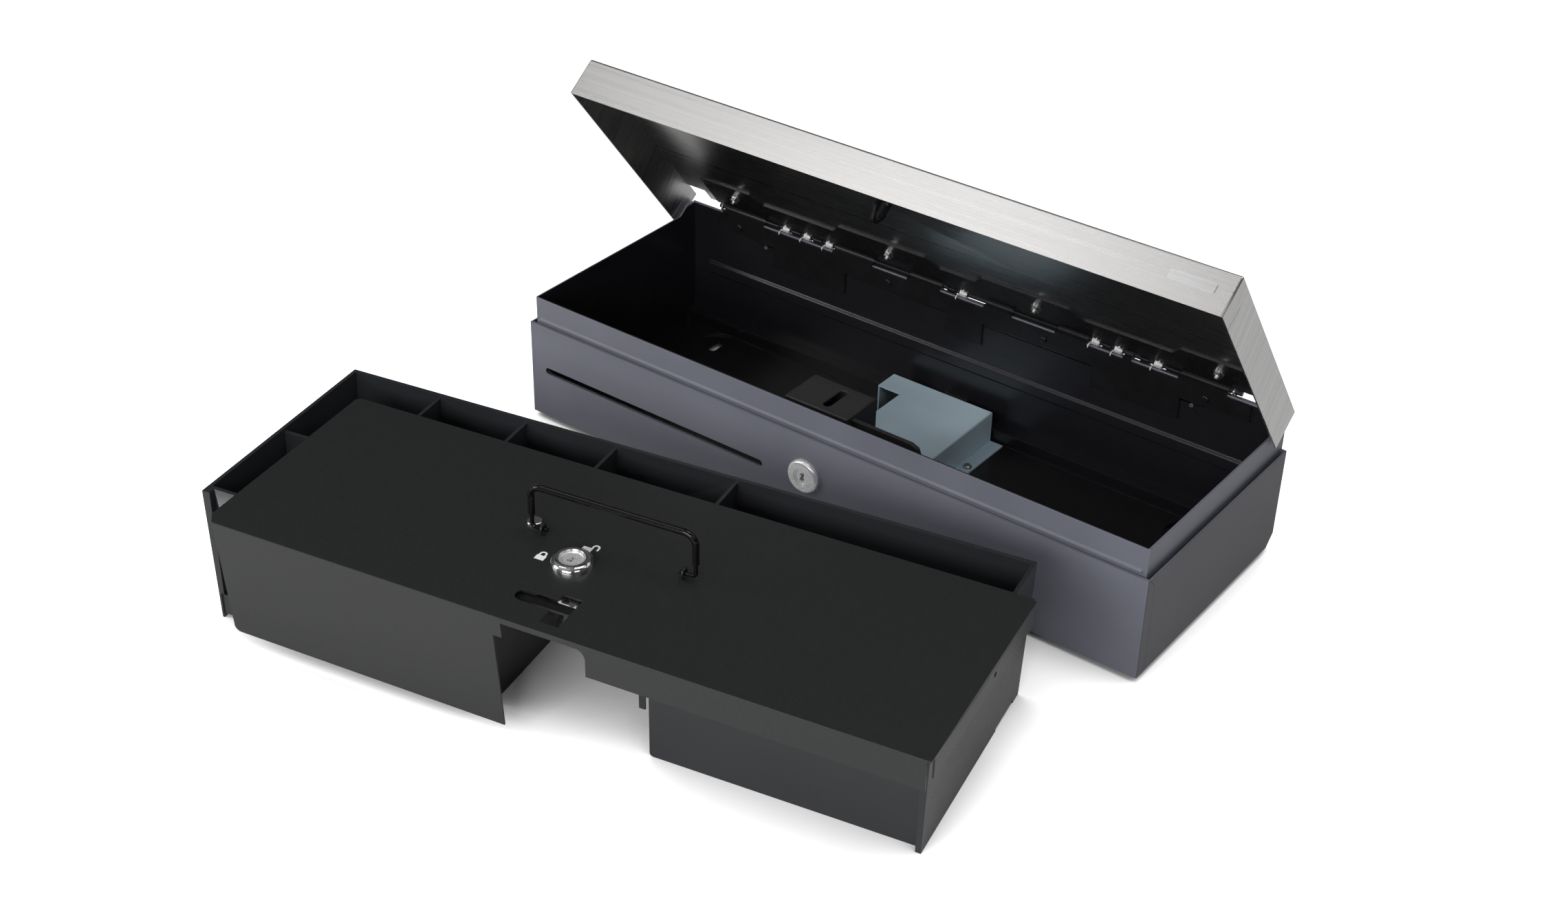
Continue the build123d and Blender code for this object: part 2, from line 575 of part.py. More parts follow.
def make_interface_board():
    """Circuit board with a terminal block."""
    board = block(*BOARD_X, *BOARD_Y, BOARD_Z, BOARD_Z + BOARD_THICK)
    return board + block(*TERMINALS_X, *TERMINALS_Y, BOARD_Z + BOARD_THICK, TERMINALS_TOP)


def make_board_spacers():
    """Four nylon spacers under the board."""
    places = [(x, y) for x in (BOARD_X[0] + 4, BOARD_X[1] - 4) for y in (BOARD_Y[0] + 4, BOARD_Y[1] - 4)]
    return together([rod_z(x, y, FLOOR_Z, BOARD_Z, 3.0) for x, y in places])


def make_cable_socket():
    """Six-way modular socket that faces out of the back."""
    x0, x1 = SOCKET_X
    z0, z1 = SOCKET_Z
    socket = block(x0, x1, SOCKET_FRONT_Y, HALF_Y - 0.4, z0, z1)
    socket -= block(x0 + 2.2, x1 - 2.2, SOCKET_BORE_Y, HALF_Y + 1, z0 + 2.4, z1 - 3.6)
    socket -= block(x0 + 5.0, x1 - 5.0, SOCKET_BORE_Y, HALF_Y + 1, z0 + 1.0, z0 + 3.0)
    return socket


def make_wiring_loom():
    """Sleeved wires from the board to the solenoid."""
    start = (17.0, BOARD_Y[0] + 1.9, 14.0)
    coil_end = (40.0, HOOK_MID_Y + COIL_R, PLUNGER_Z)
    path = Spline(start, *LOOM_BENDS, coil_end, tangents=((0, -1, 0), (0, -1, 0)))
    face = Plane(origin=start, z_dir=(0, -1, 0)) * Circle(LOOM_R)
    return sweep(face, path=path)


# ---------------------------------------------------------------- lid hinge
ROD_R = 1.5
KNUCKLE_R = 2.5
BASE_KNUCKLES = [(-200.0, -165.0), (-106.0, -74.0), (-45.6, -20.0), (14.0, 35.0),
                 (67.4, 90.0), (116.4, 122.0), (155.0, 188.0)]
LID_KNUCKLES = [(-164.6, -154.0), (-142.5, -135.5), (-124.5, -117.5), (-73.6, -46.0), (-16.0, -10.0),
                (35.4, 67.0), (100.0, 106.0), (127.0, 133.0), (145.0, 154.6)]
SPRING_CENTRES = [-147.7, -130.1, -111.6, -3.9, 94.8, 111.0, 139.1]
SPRING_HALF = 3.3
SPRING_R = 3.0
BASE_TABS = [(-155.0, -95.0), (-13.5, 14.5), (96.0, 158.0)]
BASE_LEAF_Y = (80.8, 82.0)
BASE_LEAF_HALF = 205.0
BASE_LEAF_Z = (84.0, 95.6)
BASE_TAB_Z = 68.0
LEAF_RIVET_X = (-185.0, -60.0, 60.0, 175.0)
LEAF_RIVET_Z = 89.0
ROD_X = (-206.0, 196.0)
CLIP_X = (-203.2, 190.8)
CLIP_R = 3.4


def make_hinge_rod():
    """The long hinge rod."""
    return rod_x(*ROD_X, HINGE_Y, HINGE_Z, ROD_R)


def make_hinge_base_leaf():
    """Leaf on the tub's rear wall, with tabs behind the springs and its own knuckles."""
    y0, y1 = BASE_LEAF_Y
    low, high = BASE_LEAF_Z
    leaf = block(-BASE_LEAF_HALF, BASE_LEAF_HALF, y0, y1, low, high)
    for a, b in BASE_TABS:
        leaf += block(a, b, y0, y1, BASE_TAB_Z, low)
    for a, b in BASE_KNUCKLES:
        leaf += block(a, b, y0, y1, low, HINGE_Z)
        leaf += block(a, b, y0, HINGE_Y - ROD_R, HINGE_Z - SHEET, HINGE_Z)
        leaf += rod_x(a, b, HINGE_Y, HINGE_Z, KNUCKLE_R)
    for a, b in BASE_KNUCKLES:
        leaf -= rod_x(a - CUT, b + CUT, HINGE_Y, HINGE_Z, ROD_R)
    return leaf


def make_base_leaf_rivets():
    """Domed rivets that hold the base leaf to the rear wall."""
    rivets = []
    y = BASE_LEAF_Y[0]
    for x in LEAF_RIVET_X:
        rivet = rod_y(x, y - 1.2, y, LEAF_RIVET_Z, 2.4)
        rivets.append(fillet(rivet.edges().group_by(Axis.Y)[0], 0.8))
    return together(rivets)


def make_hinge_springs():
    """Torsion springs on the rod, drawn as close-wound sleeves."""
    springs = []
    for x in SPRING_CENTRES:
        coil = rod_x(x - SPRING_HALF, x + SPRING_HALF, HINGE_Y, HINGE_Z, SPRING_R)
        coil -= rod_x(x - SPRING_HALF - 1, x + SPRING_HALF + 1, HINGE_Y, HINGE_Z, ROD_R + 0.25)
        springs.append(coil)
    return together(springs)


def make_hinge_clips():
    """Retaining clips near the rod's ends."""
    clips = []
    for x in CLIP_X:
        clip = rod_x(x, x + 1.0, HINGE_Y, HINGE_Z, CLIP_R)
        clip -= rod_x(x - CUT, x + 1.0 + CUT, HINGE_Y, HINGE_Z, ROD_R)
        mouth = block(x - CUT, x + 1.0 + CUT, HINGE_Y - 1.2, HINGE_Y + 1.2, HINGE_Z - CLIP_R - CUT, HINGE_Z)
        clips.append(clip - mouth)
    return together(clips)


LID_LEAF_HALF = 205.0
LEAF_FRONT_Y = 47.0
LEAF_REAR_Y = 80.0
LEAF_NOTCH_Y = 57.0
LEAF_NOTCH_SLOPE = 8.0
LEAF_NOTCHES = [(-155.0, -97.0), (-13.0, 14.0), (94.0, 155.0)]
STUD_X = (-180.0, -53.0, 59.0, 186.0)
STUD_Y = 61.0


def make_lid_leaf():
    """Leaf under the lid plate with three stepped-back recesses and its own knuckles."""
    low, high = LID_PLATE_Z - SHEET, LID_PLATE_Z
    edge = [(-LID_LEAF_HALF, LEAF_REAR_Y), (-LID_LEAF_HALF, LEAF_FRONT_Y)]
    for a, b in LEAF_NOTCHES:
        edge += [(a - LEAF_NOTCH_SLOPE, LEAF_FRONT_Y), (a, LEAF_NOTCH_Y)]
        edge += [(b, LEAF_NOTCH_Y), (b + LEAF_NOTCH_SLOPE, LEAF_FRONT_Y)]
    edge += [(LID_LEAF_HALF, LEAF_FRONT_Y), (LID_LEAF_HALF, LEAF_REAR_Y)]
    leaf = prism_z(edge, low, high)
    for a, b in LID_KNUCKLES:
        leaf += block(a, b, LEAF_REAR_Y, HINGE_Y - ROD_R, low, high)
        leaf += rod_x(a, b, HINGE_Y, HINGE_Z, KNUCKLE_R)
    for a, b in LID_KNUCKLES:
        leaf -= rod_x(a - CUT, b + CUT, HINGE_Y, HINGE_Z, ROD_R + 0.06)
    return OPEN_LID * leaf


def make_lid_leaf_studs():
    """Studs pressed into the lid plate, reaching through the leaf."""
    low = LID_PLATE_Z - SHEET
    return OPEN_LID * together([rod_z(x, STUD_Y, low - 5.0, low, 1.5) for x in STUD_X])


def make_lid_leaf_nuts():
    """Flanged nuts on those studs."""
    low = LID_PLATE_Z - SHEET
    nuts = []
    for x in STUD_X:
        nut = hexagon_z(x, STUD_Y, low - 3.4, low - 0.9, 5.5) + rod_z(x, STUD_Y, low - 0.9, low, 3.8)
        nuts.append(nut - rod_z(x, STUD_Y, low - 5, low + 1, 1.5))
    return OPEN_LID * together(nuts)


# ---------------------------------------------------------------- lid
LID_SEAM_Y = -70.0
LID_REAR_Y = 82.0
LID_CORNER_X = 213.0
LID_CORNER_Y = 71.0
STRIKER_Y = (-58.6, -42.5)
STRIKER_THICK = 2.0
STRIKER_BAR = 2.2
STRIKER_PLAY = 0.6
STRIKER_FOOT_X = STRIKER_X + 11.0
EYE_R = 3.6
EYE_TOP = 85.0


def make_lid_shell():
    """Stainless lid with front and side skirts; the back is open for the hinge."""
    x = HALF_X
    front = -LID_DEPTH_FRONT
    shell = block(-x, x, front, LID_BACK, LID_SKIRT_Z, LID_TOP_Z)
    shell = fillet(shell.edges().filter_by(Axis.X).group_by(Axis.Y)[0].group_by(Axis.Z)[-1], 1.6)
    shell = fillet(shell.edges().filter_by(Axis.Y).group_by(Axis.Z)[-1], 1.2)
    shell -= block(-x + SHEET, x - SHEET, front + SHEET, LID_BACK + 1, LID_SKIRT_Z - 1, LID_PLATE_Z)
    # plate ends before the hinge and is cut back at both rear corners
    shell -= block(-x + SHEET, x - SHEET, LID_REAR_Y, LID_BACK + 1, LID_SKIRT_Z, LID_TOP_Z + 1)
    for side in (-1, 1):
        a, b = sorted((side * (x - SHEET), side * LID_CORNER_X))
        shell -= block(a, b, LID_CORNER_Y, LID_BACK + 1, LID_SKIRT_Z, LID_TOP_Z + 1)
        # seam where the front skirt's tab laps the side skirt
        c, d = sorted((side * (x + 1), side * (x - 0.5)))
        shell -= block(c, d, LID_SEAM_Y - 0.4, LID_SEAM_Y, LID_SKIRT_Z - 1, LID_SKIRT_Z + 15.0)
    return OPEN_LID * shell


def make_lid_striker():
    """Plate with an eye, hanging from the lid, that the hook catches."""
    top = LID_PLATE_Z
    front, back = STRIKER_Y
    low = NOSE_Z[0] - STRIKER_PLAY - STRIKER_BAR
    plate = [(front, top), (front, low + 8.0), (front + 5.0, low + 0.6), (front + 7.0, low),
             (back - 5.0, low + 0.6), (back, low + 7.0), (back, top)]
    left, right = STRIKER_X - STRIKER_THICK / 2, STRIKER_X + STRIKER_THICK / 2
    striker = prism_x(plate, left, right)
    eye_low = low + STRIKER_BAR + EYE_R
    eye = block(left - CUT, right + CUT, HOOK_MID_Y - EYE_R, HOOK_MID_Y + EYE_R, eye_low, EYE_TOP)
    for z in (eye_low, EYE_TOP):
        eye += rod_x(left - CUT, right + CUT, HOOK_MID_Y, z, EYE_R)
    striker -= eye
    striker += block(left, STRIKER_FOOT_X, front, back, top - SHEET, top)
    return OPEN_LID * striker


def make_striker_rivets():
    """Rivets through the striker's foot."""
    low = LID_PLATE_Z - SHEET
    rivets = []
    for y in (-54.5, -46.5):
        rivet = rod_z(STRIKER_X + 6.5, y, low - 1.0, low, 2.0)
        rivets.append(fillet(rivet.edges().group_by(Axis.Z)[0], 0.6))
    return OPEN_LID * together(rivets)


def make_lid_badge():
    """Blank plate at the right end of the front skirt."""
    plate = block(191.3, 219.2, -LID_DEPTH_FRONT - 0.4, -LID_DEPTH_FRONT, 84.0, 90.4)
    plate = fillet(plate.edges().filter_by(Axis.Y), 0.8)
    return OPEN_LID * plate


# ---------------------------------------------------------------- till
TILL_FRONT_WALL_Y = -70.5
TILL_BACK_DRAFT = 5.9
TILL_SIDE_DRAFT = 1.9
GAP_X = (-38.0, 60.5)
REAR_GAP_X = -48.0       # the gap is wider behind the row wall, for the cover's left wing
MIDDLE_X = 41.0
ROW_Y = 0.0
CUP_FLOOR_Z = 36.0
CUP_BASE_Z = 33.0
DIVIDER_Z = 86.6
BAY_FLOOR_Z = 4.5
CUP_COLUMNS = [-160.0, -99.0, -38.0]
DIVIDER = 2.2
CHEEK_X = 217.5          # inner edge of the narrow cheek at each end of the front
CHEEK_FOOT_X = (-219.6, -207.0)
CHEEK_FOOT_Y = -74.0
CHEEK_FOOT_Z = (2.6, 16.4)
FAR = 400.0              # past every face of the till
BAY_CORNER = 2.5
CUP_ROUND = 14.0
WINDOW_PLAY = 0.3
RELIEF_Y = (33.0, 60.0)
RELIEF_Z = 2.0


def till_block(x0, x1, y0, y1, z0, z1, wall):
    """A block inside the till's drafted outer form, set in from it by wall."""
    lx, rx = TILL_LENGTH / 2 - wall, TILL_DEPTH / 2 - wall
    foot_x = lx - TILL_SIDE_DRAFT
    foot_back = rx - TILL_BACK_DRAFT
    low = [(-foot_x, -rx), (foot_x, -rx), (foot_x, foot_back), (-foot_x, foot_back)]
    high = [(-lx, -rx), (lx, -rx), (lx, rx), (-lx, rx)]
    bottom = make_face(Polyline(*[(x, y, 0) for x, y in low], close=True))
    top = make_face(Polyline(*[(x, y, TILL_HEIGHT) for x, y in high], close=True))
    return loft([bottom, top]) & block(x0, x1, y0, y1, z0, z1)


def scooped(x0, x1, y0, y1):
    """A coin cup's hollow, round along its front and back edges."""
    cup = block(x0, x1, y0, y1, CUP_FLOOR_Z, TILL_HEIGHT + CUT)
    low = cup.edges().filter_by(Axis.X).group_by(Axis.Z)[0]
    return fillet(low, CUP_ROUND)


def till_front_cheeks():
    """Narrow upright strips at both ends of the front, with a small foot beside the left one."""
    low, high = -CUT, TILL_HEIGHT + CUT
    cheeks = till_block(-FAR, FAR, -FAR, TILL_FRONT_WALL_Y, 0, TILL_HEIGHT, 0)
    cheeks -= block(-CHEEK_X, CHEEK_X, -FAR, TILL_FRONT_WALL_Y, low, high)
    cheeks -= block(CHEEK_FOOT_X[0], -CHEEK_X, -FAR, TILL_FRONT_WALL_Y, low, CHEEK_FOOT_Z[1] + CUT)
    return cheeks + block(*CHEEK_FOOT_X, CHEEK_FOOT_Y, TILL_FRONT_WALL_Y, *CHEEK_FOOT_Z)


def make_till_tray():
    """Moulded till: coin rows at the left, an upright-note bay at the right, a gap between."""
    row_back = ROW_Y + DIVIDER / 2
    row_front = ROW_Y - DIVIDER / 2
    left = till_block(-FAR, GAP_X[0], TILL_FRONT_WALL_Y, row_back, 0, TILL_HEIGHT, 0)
    left += till_block(-FAR, REAR_GAP_X, ROW_Y, FAR, 0, TILL_HEIGHT, 0)
    middle = till_block(REAR_GAP_X, GAP_X[1], row_front, FAR, CUP_BASE_Z, TILL_HEIGHT, 0)
    right = till_block(GAP_X[1], FAR, TILL_FRONT_WALL_Y, FAR, 0, TILL_HEIGHT, 0)
    right = fillet(right.edges().filter_by(Axis.Y).group_by(Axis.X)[0].group_by(Axis.Z)[0], BAY_CORNER)
    tray = left + middle + right + till_front_cheeks()
    inner = till_block(-FAR, FAR, -FAR, FAR, 0, TILL_HEIGHT, TILL_WALL)
    front = TILL_FRONT_WALL_Y + TILL_WALL
    # coin cups, two rows at the left and one cup behind the gap
    edges = [-FAR] + CUP_COLUMNS + [MIDDLE_X]
    for x0, x1 in zip(edges, edges[1:]):
        a = x0 + DIVIDER / 2 if x0 > -FAR else -TILL_LENGTH / 2 + TILL_WALL
        b = x1 - DIVIDER / 2
        tray -= scooped(a, b, row_back, TILL_DEPTH / 2 - TILL_WALL) & inner
        if x1 <= GAP_X[0]:
            tray -= scooped(a, b, front, row_front)
    # note bay
    bay_left = GAP_X[1] + TILL_WALL
    bay = block(bay_left, FAR, front, FAR, BAY_FLOOR_Z, FAR) & inner
    bay += block(MIDDLE_X + DIVIDER / 2, bay_left + CUT, row_back, FAR, CUP_FLOOR_Z, FAR) & inner
    tray -= bay
    # hollow underside below the coin cups
    tray -= block(-FAR, GAP_X[0] - TILL_WALL, front, row_front, -CUT, CUP_BASE_Z) & inner
    tray -= block(-FAR, REAR_GAP_X - TILL_WALL, front, FAR, -CUT, CUP_BASE_Z) & inner
    # dividers stop a little below the rim
    inside_left = block(-FAR, MIDDLE_X + DIVIDER / 2, front, FAR, DIVIDER_Z, FAR) & inner
    tray -= inside_left - block(GAP_X[0] - TILL_WALL, MIDDLE_X, -FAR, row_back, 0, FAR)
    # window in the gap's left wall for the lid's bolt
    bolt_low = TILL_HEIGHT + BOLT_TOP - BOLT_THICK
    tray -= block(GAP_X[0] - TILL_WALL - CUT, GAP_X[0] + CUT, BOLT_Y[0] - CUT, BOLT_Y[1] + CUT,
                  bolt_low - WINDOW_PLAY, TILL_HEIGHT + BOLT_TOP + WINDOW_PLAY)
    # relief under the side walls, leaving feet at their ends
    tray -= block(-FAR, FAR, *RELIEF_Y, -CUT, RELIEF_Z)
    return TILL * tray


def make_note_dividers():
    """Loose upright dividers in the note bay."""
    dividers = []
    for y in (-34.0, 34.0):
        x0 = GAP_X[1] + TILL_WALL + 0.4
        plate = block(x0, TILL_LENGTH / 2 - TILL_WALL - 2.4, y - 1.0, y + 1.0, BAY_FLOOR_Z, 80.0)
        top = plate.edges().filter_by(Axis.Y).group_by(Axis.Z)[-1]
        dividers.append(fillet(top, 10.0))
    return TILL * together(dividers)


NOTE_SPRING_X = (110.0, 180.0)
NOTE_SPRING_Y = (-66.0, -54.0)
NOTE_SPRING_TOP = 70.0
NOTE_SPRING_THICK = 0.8


def make_note_spring():
    """Bent leaf that leans on the notes in the front slot."""
    front, back = NOTE_SPRING_Y
    leaf = block(*NOTE_SPRING_X, front, front + NOTE_SPRING_THICK, BAY_FLOOR_Z, NOTE_SPRING_TOP)
    leaf += block(*NOTE_SPRING_X, front, back, BAY_FLOOR_Z, BAY_FLOOR_Z + NOTE_SPRING_THICK)
    return TILL * leaf


# ---------------------------------------------------------------- till lid
TL_X = TILL_LID_LENGTH / 2
TL_Y = TILL_LID_DEPTH / 2
TL_CORNER = 2.5
TL_FRONT_CORNER = (5.2, 7.0)
FLAP_DEPTH = 79.0
FLAP_TILT_DEG = 5.0
FLAP_RIGHT = -31.5
STRIP_LEFT = -26.0
SKIRT_LEFT = 25.3
SKIRT_DEPTH = 19.0
SIDE_SKIRT_DEPTH = 13.0
TL_LOCK = (-16.9, -13.7)
TL_LOCK_HOLE_R = 9.6
HANDLE_MID = (-1.5, 3.5)
HANDLE_HALF = 51.0
EYE_HALF = 44.0
HANDLE_AXIS_Z = 3.8
HANDLE_TOP_Z = 30.6
WIRE_R = 1.25
SLEEVE_R = 2.0
EYE_REACH = 2.4
EYE_WIRE_R = 0.8
LID_CUT_X = (-25.2, -6.4, 5.2)
LID_CUT_Y = (-65.6, -54.5, -44.8, -39.9)
DISC_PLACE = (-55.4, 10.5)
DISC_R = 4.5
BOLT_X = (-36.5, 30.0)   # withdrawn; the key throws it 10 mm towards -X
BOLT_Y = (-51.0, -44.5)
BOLT_TOP = -1.6
BOLT_THICK = 1.5
GUIDE_X = (-33.8, 20.0)
TAB_X = (56.2, 59.8)
TAB_Y = (-71.6, -60.0)
TAB_DROP = 28.5


def make_till_lid_sheet():
    """Folded steel till lid: deep flap at the left, shallow skirts at the right."""
    t = TILL_LID_SHEET
    flap_left = -TL_X + TL_FRONT_CORNER[0]
    outline = [(flap_left, -TL_Y), (TL_X, -TL_Y), (TL_X, TL_Y - TL_CORNER), (TL_X - TL_CORNER, TL_Y),
               (-TL_X + TL_CORNER, TL_Y), (-TL_X, TL_Y - TL_CORNER), (-TL_X, -TL_Y + TL_FRONT_CORNER[1])]
    sheet = prism_z(outline, 0, t)
    # front: flap, narrow strip and skirt
    flap = block(flap_left, FLAP_RIGHT, 0, t, -FLAP_DEPTH, t)
    flap += block(FLAP_RIGHT, STRIP_LEFT, 0, t, -13.0, t)
    flap = fillet(flap.edges().filter_by(Axis.Y).group_by(Axis.Z)[0].group_by(Axis.X)[0], 4.0)
    sheet += Pos(0, -TL_Y, 0) * Pos(0, 0, t) * Rot(FLAP_TILT_DEG, 0, 0) * Pos(0, 0, -t) * flap
    strip = block(STRIP_LEFT, TL_X - 2.5, -TL_Y, -TL_Y + t, -SKIRT_DEPTH, t)
    opening = block(STRIP_LEFT - 1, SKIRT_LEFT, -TL_Y - 1, -TL_Y + t + 1, -SKIRT_DEPTH - 1, -2.6)
    opening = fillet(opening.edges().filter_by(Axis.Y).group_by(Axis.Z)[-1].group_by(Axis.X)[-1], 6.0)
    sheet += strip - opening
    # right-hand skirt
    sheet += block(TL_X - t, TL_X, -TL_Y + 4.5, TL_Y - TL_CORNER - 1.5, -SIDE_SKIRT_DEPTH, t)
    sheet -= rod_x(TL_X - 3, TL_X + 1, 12.0, -6.0, 1.6)
    # openings
    sheet -= rod_z(TL_LOCK[0], TL_LOCK[1], -1, t + 1, TL_LOCK_HOLE_R)
    left, mid, right = LID_CUT_X
    low, slot_low, slot_high, high = LID_CUT_Y
    end_r = (slot_high - slot_low) / 2
    sheet -= block(left, right, slot_low, slot_high, -CUT, t + CUT)
    sheet -= rod_z(left, slot_low + end_r, -CUT, t + CUT, end_r)
    sheet -= block(mid, right, low, high, -CUT, t + CUT)
    for x in eye_places():
        for dy in (-EYE_REACH, EYE_REACH):
            sheet -= rod_z(x, HANDLE_MID[1] + dy, -CUT, t + CUT, EYE_WIRE_R + 0.05)
    return TILL_LID * sheet


def eye_places():
    """Where the handle's two wire eyes stand along the lid."""
    return [HANDLE_MID[0] - EYE_HALF, HANDLE_MID[0] + EYE_HALF]


def make_handle_eyes():
    """Wire staples that the handle's ends turn in."""
    eyes = []
    for x in eye_places():
        y = HANDLE_MID[1]
        r = EYE_REACH
        lower = Line((x, y - r, -0.6), (x, y - r, HANDLE_AXIS_Z))
        arch = ThreePointArc((x, y - r, HANDLE_AXIS_Z), (x, y, HANDLE_AXIS_Z + r),
                             (x, y + r, HANDLE_AXIS_Z))
        upper = Line((x, y + r, HANDLE_AXIS_Z), (x, y + r, -0.6))
        path = Wire([lower, arch, upper])
        section = Plane(origin=(x, y - r, -0.6), z_dir=(0, 0, 1)) * Circle(EYE_WIRE_R)
        eye = sweep(section, path=path)
        for dy in (-r, r):
            eye += rod_z(x, y + dy, -1.4, 0, 1.5)
        eyes.append(eye)
    return TILL_LID * together(eyes)


def handle_path(low_z):
    """Half of a bail from one side's low_z over the top to the other side's low_z."""
    x, y = HANDLE_MID
    bend = 7.0
    turn = bend * (1 - math.sqrt(0.5))
    left, right = x - HANDLE_HALF, x + HANDLE_HALF
    top = HANDLE_TOP_Z
    return Wire([
        Line((left, y, low_z), (left, y, top - bend)),
        ThreePointArc((left, y, top - bend), (left + turn, y, top - turn), (left + bend, y, top)),
        Line((left + bend, y, top), (right - bend, y, top)),
        ThreePointArc((right - bend, y, top), (right - turn, y, top - turn), (right, y, top - bend)),
        Line((right, y, top - bend), (right, y, low_z)),
    ])


SLEEVE_LOW_Z = 12.0
FOOT_BEND = 2.2


def make_handle_sleeve():
    """Plastic sleeve over the bail."""
    x, y = HANDLE_MID
    section = Plane(origin=(x - HANDLE_HALF, y, SLEEVE_LOW_Z), z_dir=(0, 0, 1)) * Circle(SLEEVE_R)
    body = sweep(section, path=handle_path(SLEEVE_LOW_Z))
    core_section = Plane(origin=(x - HANDLE_HALF, y, SLEEVE_LOW_Z - 2), z_dir=(0, 0, 1)) * Circle(WIRE_R)
    return TILL_LID * (body - sweep(core_section, path=handle_path(SLEEVE_LOW_Z - 2)))


def make_handle_wire():
    """Steel bail whose ends turn inward through the wire eyes."""
    x, y = HANDLE_MID
    start = HANDLE_AXIS_Z + FOOT_BEND
    section = Plane(origin=(x - HANDLE_HALF, y, start), z_dir=(0, 0, 1)) * Circle(WIRE_R)
    wire = sweep(section, path=handle_path(start))
    for side in (-1, 1):
        leg = x + side * HANDLE_HALF
        inner = x + side * (EYE_HALF - 3.0)
        turn = FOOT_BEND * (1 - math.sqrt(0.5))
        foot = Wire([
            ThreePointArc((leg, y, start), (leg - side * turn, y, HANDLE_AXIS_Z + turn),
                          (leg - side * FOOT_BEND, y, HANDLE_AXIS_Z)),
            Line((leg - side * FOOT_BEND, y, HANDLE_AXIS_Z), (inner, y, HANDLE_AXIS_Z)),
        ])
        foot_section = Plane(origin=(leg, y, start), z_dir=(0, 0, -1)) * Circle(WIRE_R)
        wire += sweep(foot_section, path=foot)
    return TILL_LID * wire


TL_LOCK_HEAD_R = 12.0
TL_LOCK_HEAD = 4.2
TL_BARREL_LOW = -16.0
TL_PLUG_R = 7.5
TL_CAM_REACH = 19.0


def make_till_lock_barrel():
    """Domed chrome ring and barrel of the till lid's lock."""
    x, y = TL_LOCK
    t = TILL_LID_SHEET
    head = rod_z(x, y, t, t + TL_LOCK_HEAD, TL_LOCK_HEAD_R)
    head = fillet(head.edges().group_by(Axis.Z)[-1], 3.6)
    barrel = head + rod_z(x, y, TL_BARREL_LOW, t, TL_LOCK_HOLE_R - 0.2)
    return TILL_LID * (barrel - rod_z(x, y, TL_BARREL_LOW - 1, t + 9, TL_PLUG_R + 0.08))


def make_till_lock_nut():
    """Nut under the till lid."""
    x, y = TL_LOCK
    nut = hexagon_z(x, y, -4.0, 0, 24.0)
    return TILL_LID * (nut - rod_z(x, y, -5, 1, TL_LOCK_HOLE_R - 0.2))


def make_till_lock_plug():
    """Turning plug of the till lock with its keyway."""
    x, y = TL_LOCK
    top = TILL_LID_SHEET + TL_LOCK_HEAD - 0.5
    plug = rod_z(x, y, TL_BARREL_LOW - 0.4, top, TL_PLUG_R)
    plug -= rod_z(x, y, top - 0.6, top + 1, TL_PLUG_R - 1.2)
    plug -= Pos(x, y, top) * Rot(0, 0, TILL_KEY_LEAN_DEG) * keyway()
    return TILL_LID * plug


def make_till_lock_cam():
    """Cam under the plug, pointing at the bolt."""
    x, y = TL_LOCK
    low = TL_BARREL_LOW - 2.4
    tip_y = y - TL_CAM_REACH
    outline = [(x - 5, y), (x - 3, tip_y), (x + 3, tip_y), (x + 5, y)]
    cam = prism_z(outline, low, low + 2.0) + rod_z(x, y, low, low + 2.0, 6.0)
    return TILL_LID * cam


def make_till_lock_bolt():
    """Flat sliding bolt under the lid's front edge, with an arm back to the cam."""
    y0, y1 = BOLT_Y
    low = BOLT_TOP - BOLT_THICK
    bolt = block(BOLT_X[0], BOLT_X[1], y0, y1, low, BOLT_TOP)
    bolt = fillet(bolt.edges().filter_by(Axis.Z), 2.0)
    arm_x = TL_LOCK[0]
    arm_back = TL_LOCK[1] - TL_CAM_REACH - 2.0
    bolt += block(arm_x - 4.0, arm_x + 4.0, y1 - 1.0, arm_back, low, BOLT_TOP)
    bolt += block(arm_x - 4.0, arm_x + 4.0, arm_back - BOLT_THICK, arm_back, TL_BARREL_LOW - 3.0, BOLT_TOP)
    return TILL_LID * bolt


GUIDE_HALF = 2.5
GUIDE_REACH = 3.6
GUIDE_PLAY = 0.4
GUIDE_SHEET = 1.0


def make_bolt_guides():
    """Folded guides under the lid that carry the bolt."""
    front, back = BOLT_Y[0] - GUIDE_REACH, BOLT_Y[1] + GUIDE_REACH
    guides = []
    high = BOLT_TOP - BOLT_THICK - GUIDE_PLAY
    for x in GUIDE_X:
        guide = block(x - GUIDE_HALF, x + GUIDE_HALF, front, back, high - GUIDE_SHEET, high)
        for a, b in ((front, BOLT_Y[0] - GUIDE_PLAY), (BOLT_Y[1] + GUIDE_PLAY, back)):
            guide += block(x - GUIDE_HALF, x + GUIDE_HALF, a, b, high - GUIDE_SHEET, 0)
        guides.append(guide)
    return TILL_LID * together(guides)


STRAP_HALF = 8.5
STRAP_LEG = 2.0
STRAP_Y = (-42.5, -36.0)
STRAP_Z = (-3.6, -2.6)
STOP_SCREW = (0.4, -41.0)
STOP_SCREW_R = 2.6
STOP_SCREW_HEAD = 1.2


def make_stop_screw():
    """Bright pan screw seen through the cut-out, on a strap under the lid."""
    low, seat = STRAP_Z
    strap = block(-STRAP_HALF, STRAP_HALF, *STRAP_Y, low, seat)
    for left in (-STRAP_HALF, STRAP_HALF - STRAP_LEG):
        strap += block(left, left + STRAP_LEG, *STRAP_Y, low, 0)
    screw = rod_z(*STOP_SCREW, seat, seat + STOP_SCREW_HEAD, STOP_SCREW_R)
    return TILL_LID * (strap + screw)


def make_locating_tab():
    """Narrow tab behind the front skirt that finds the gap in the till's front."""
    front, back = TAB_Y
    tab = block(*TAB_X, front, back, -TILL_LID_SHEET, 0)
    tab += block(*TAB_X, front, front + TILL_LID_SHEET, -TAB_DROP, 0)
    return TILL_LID * tab


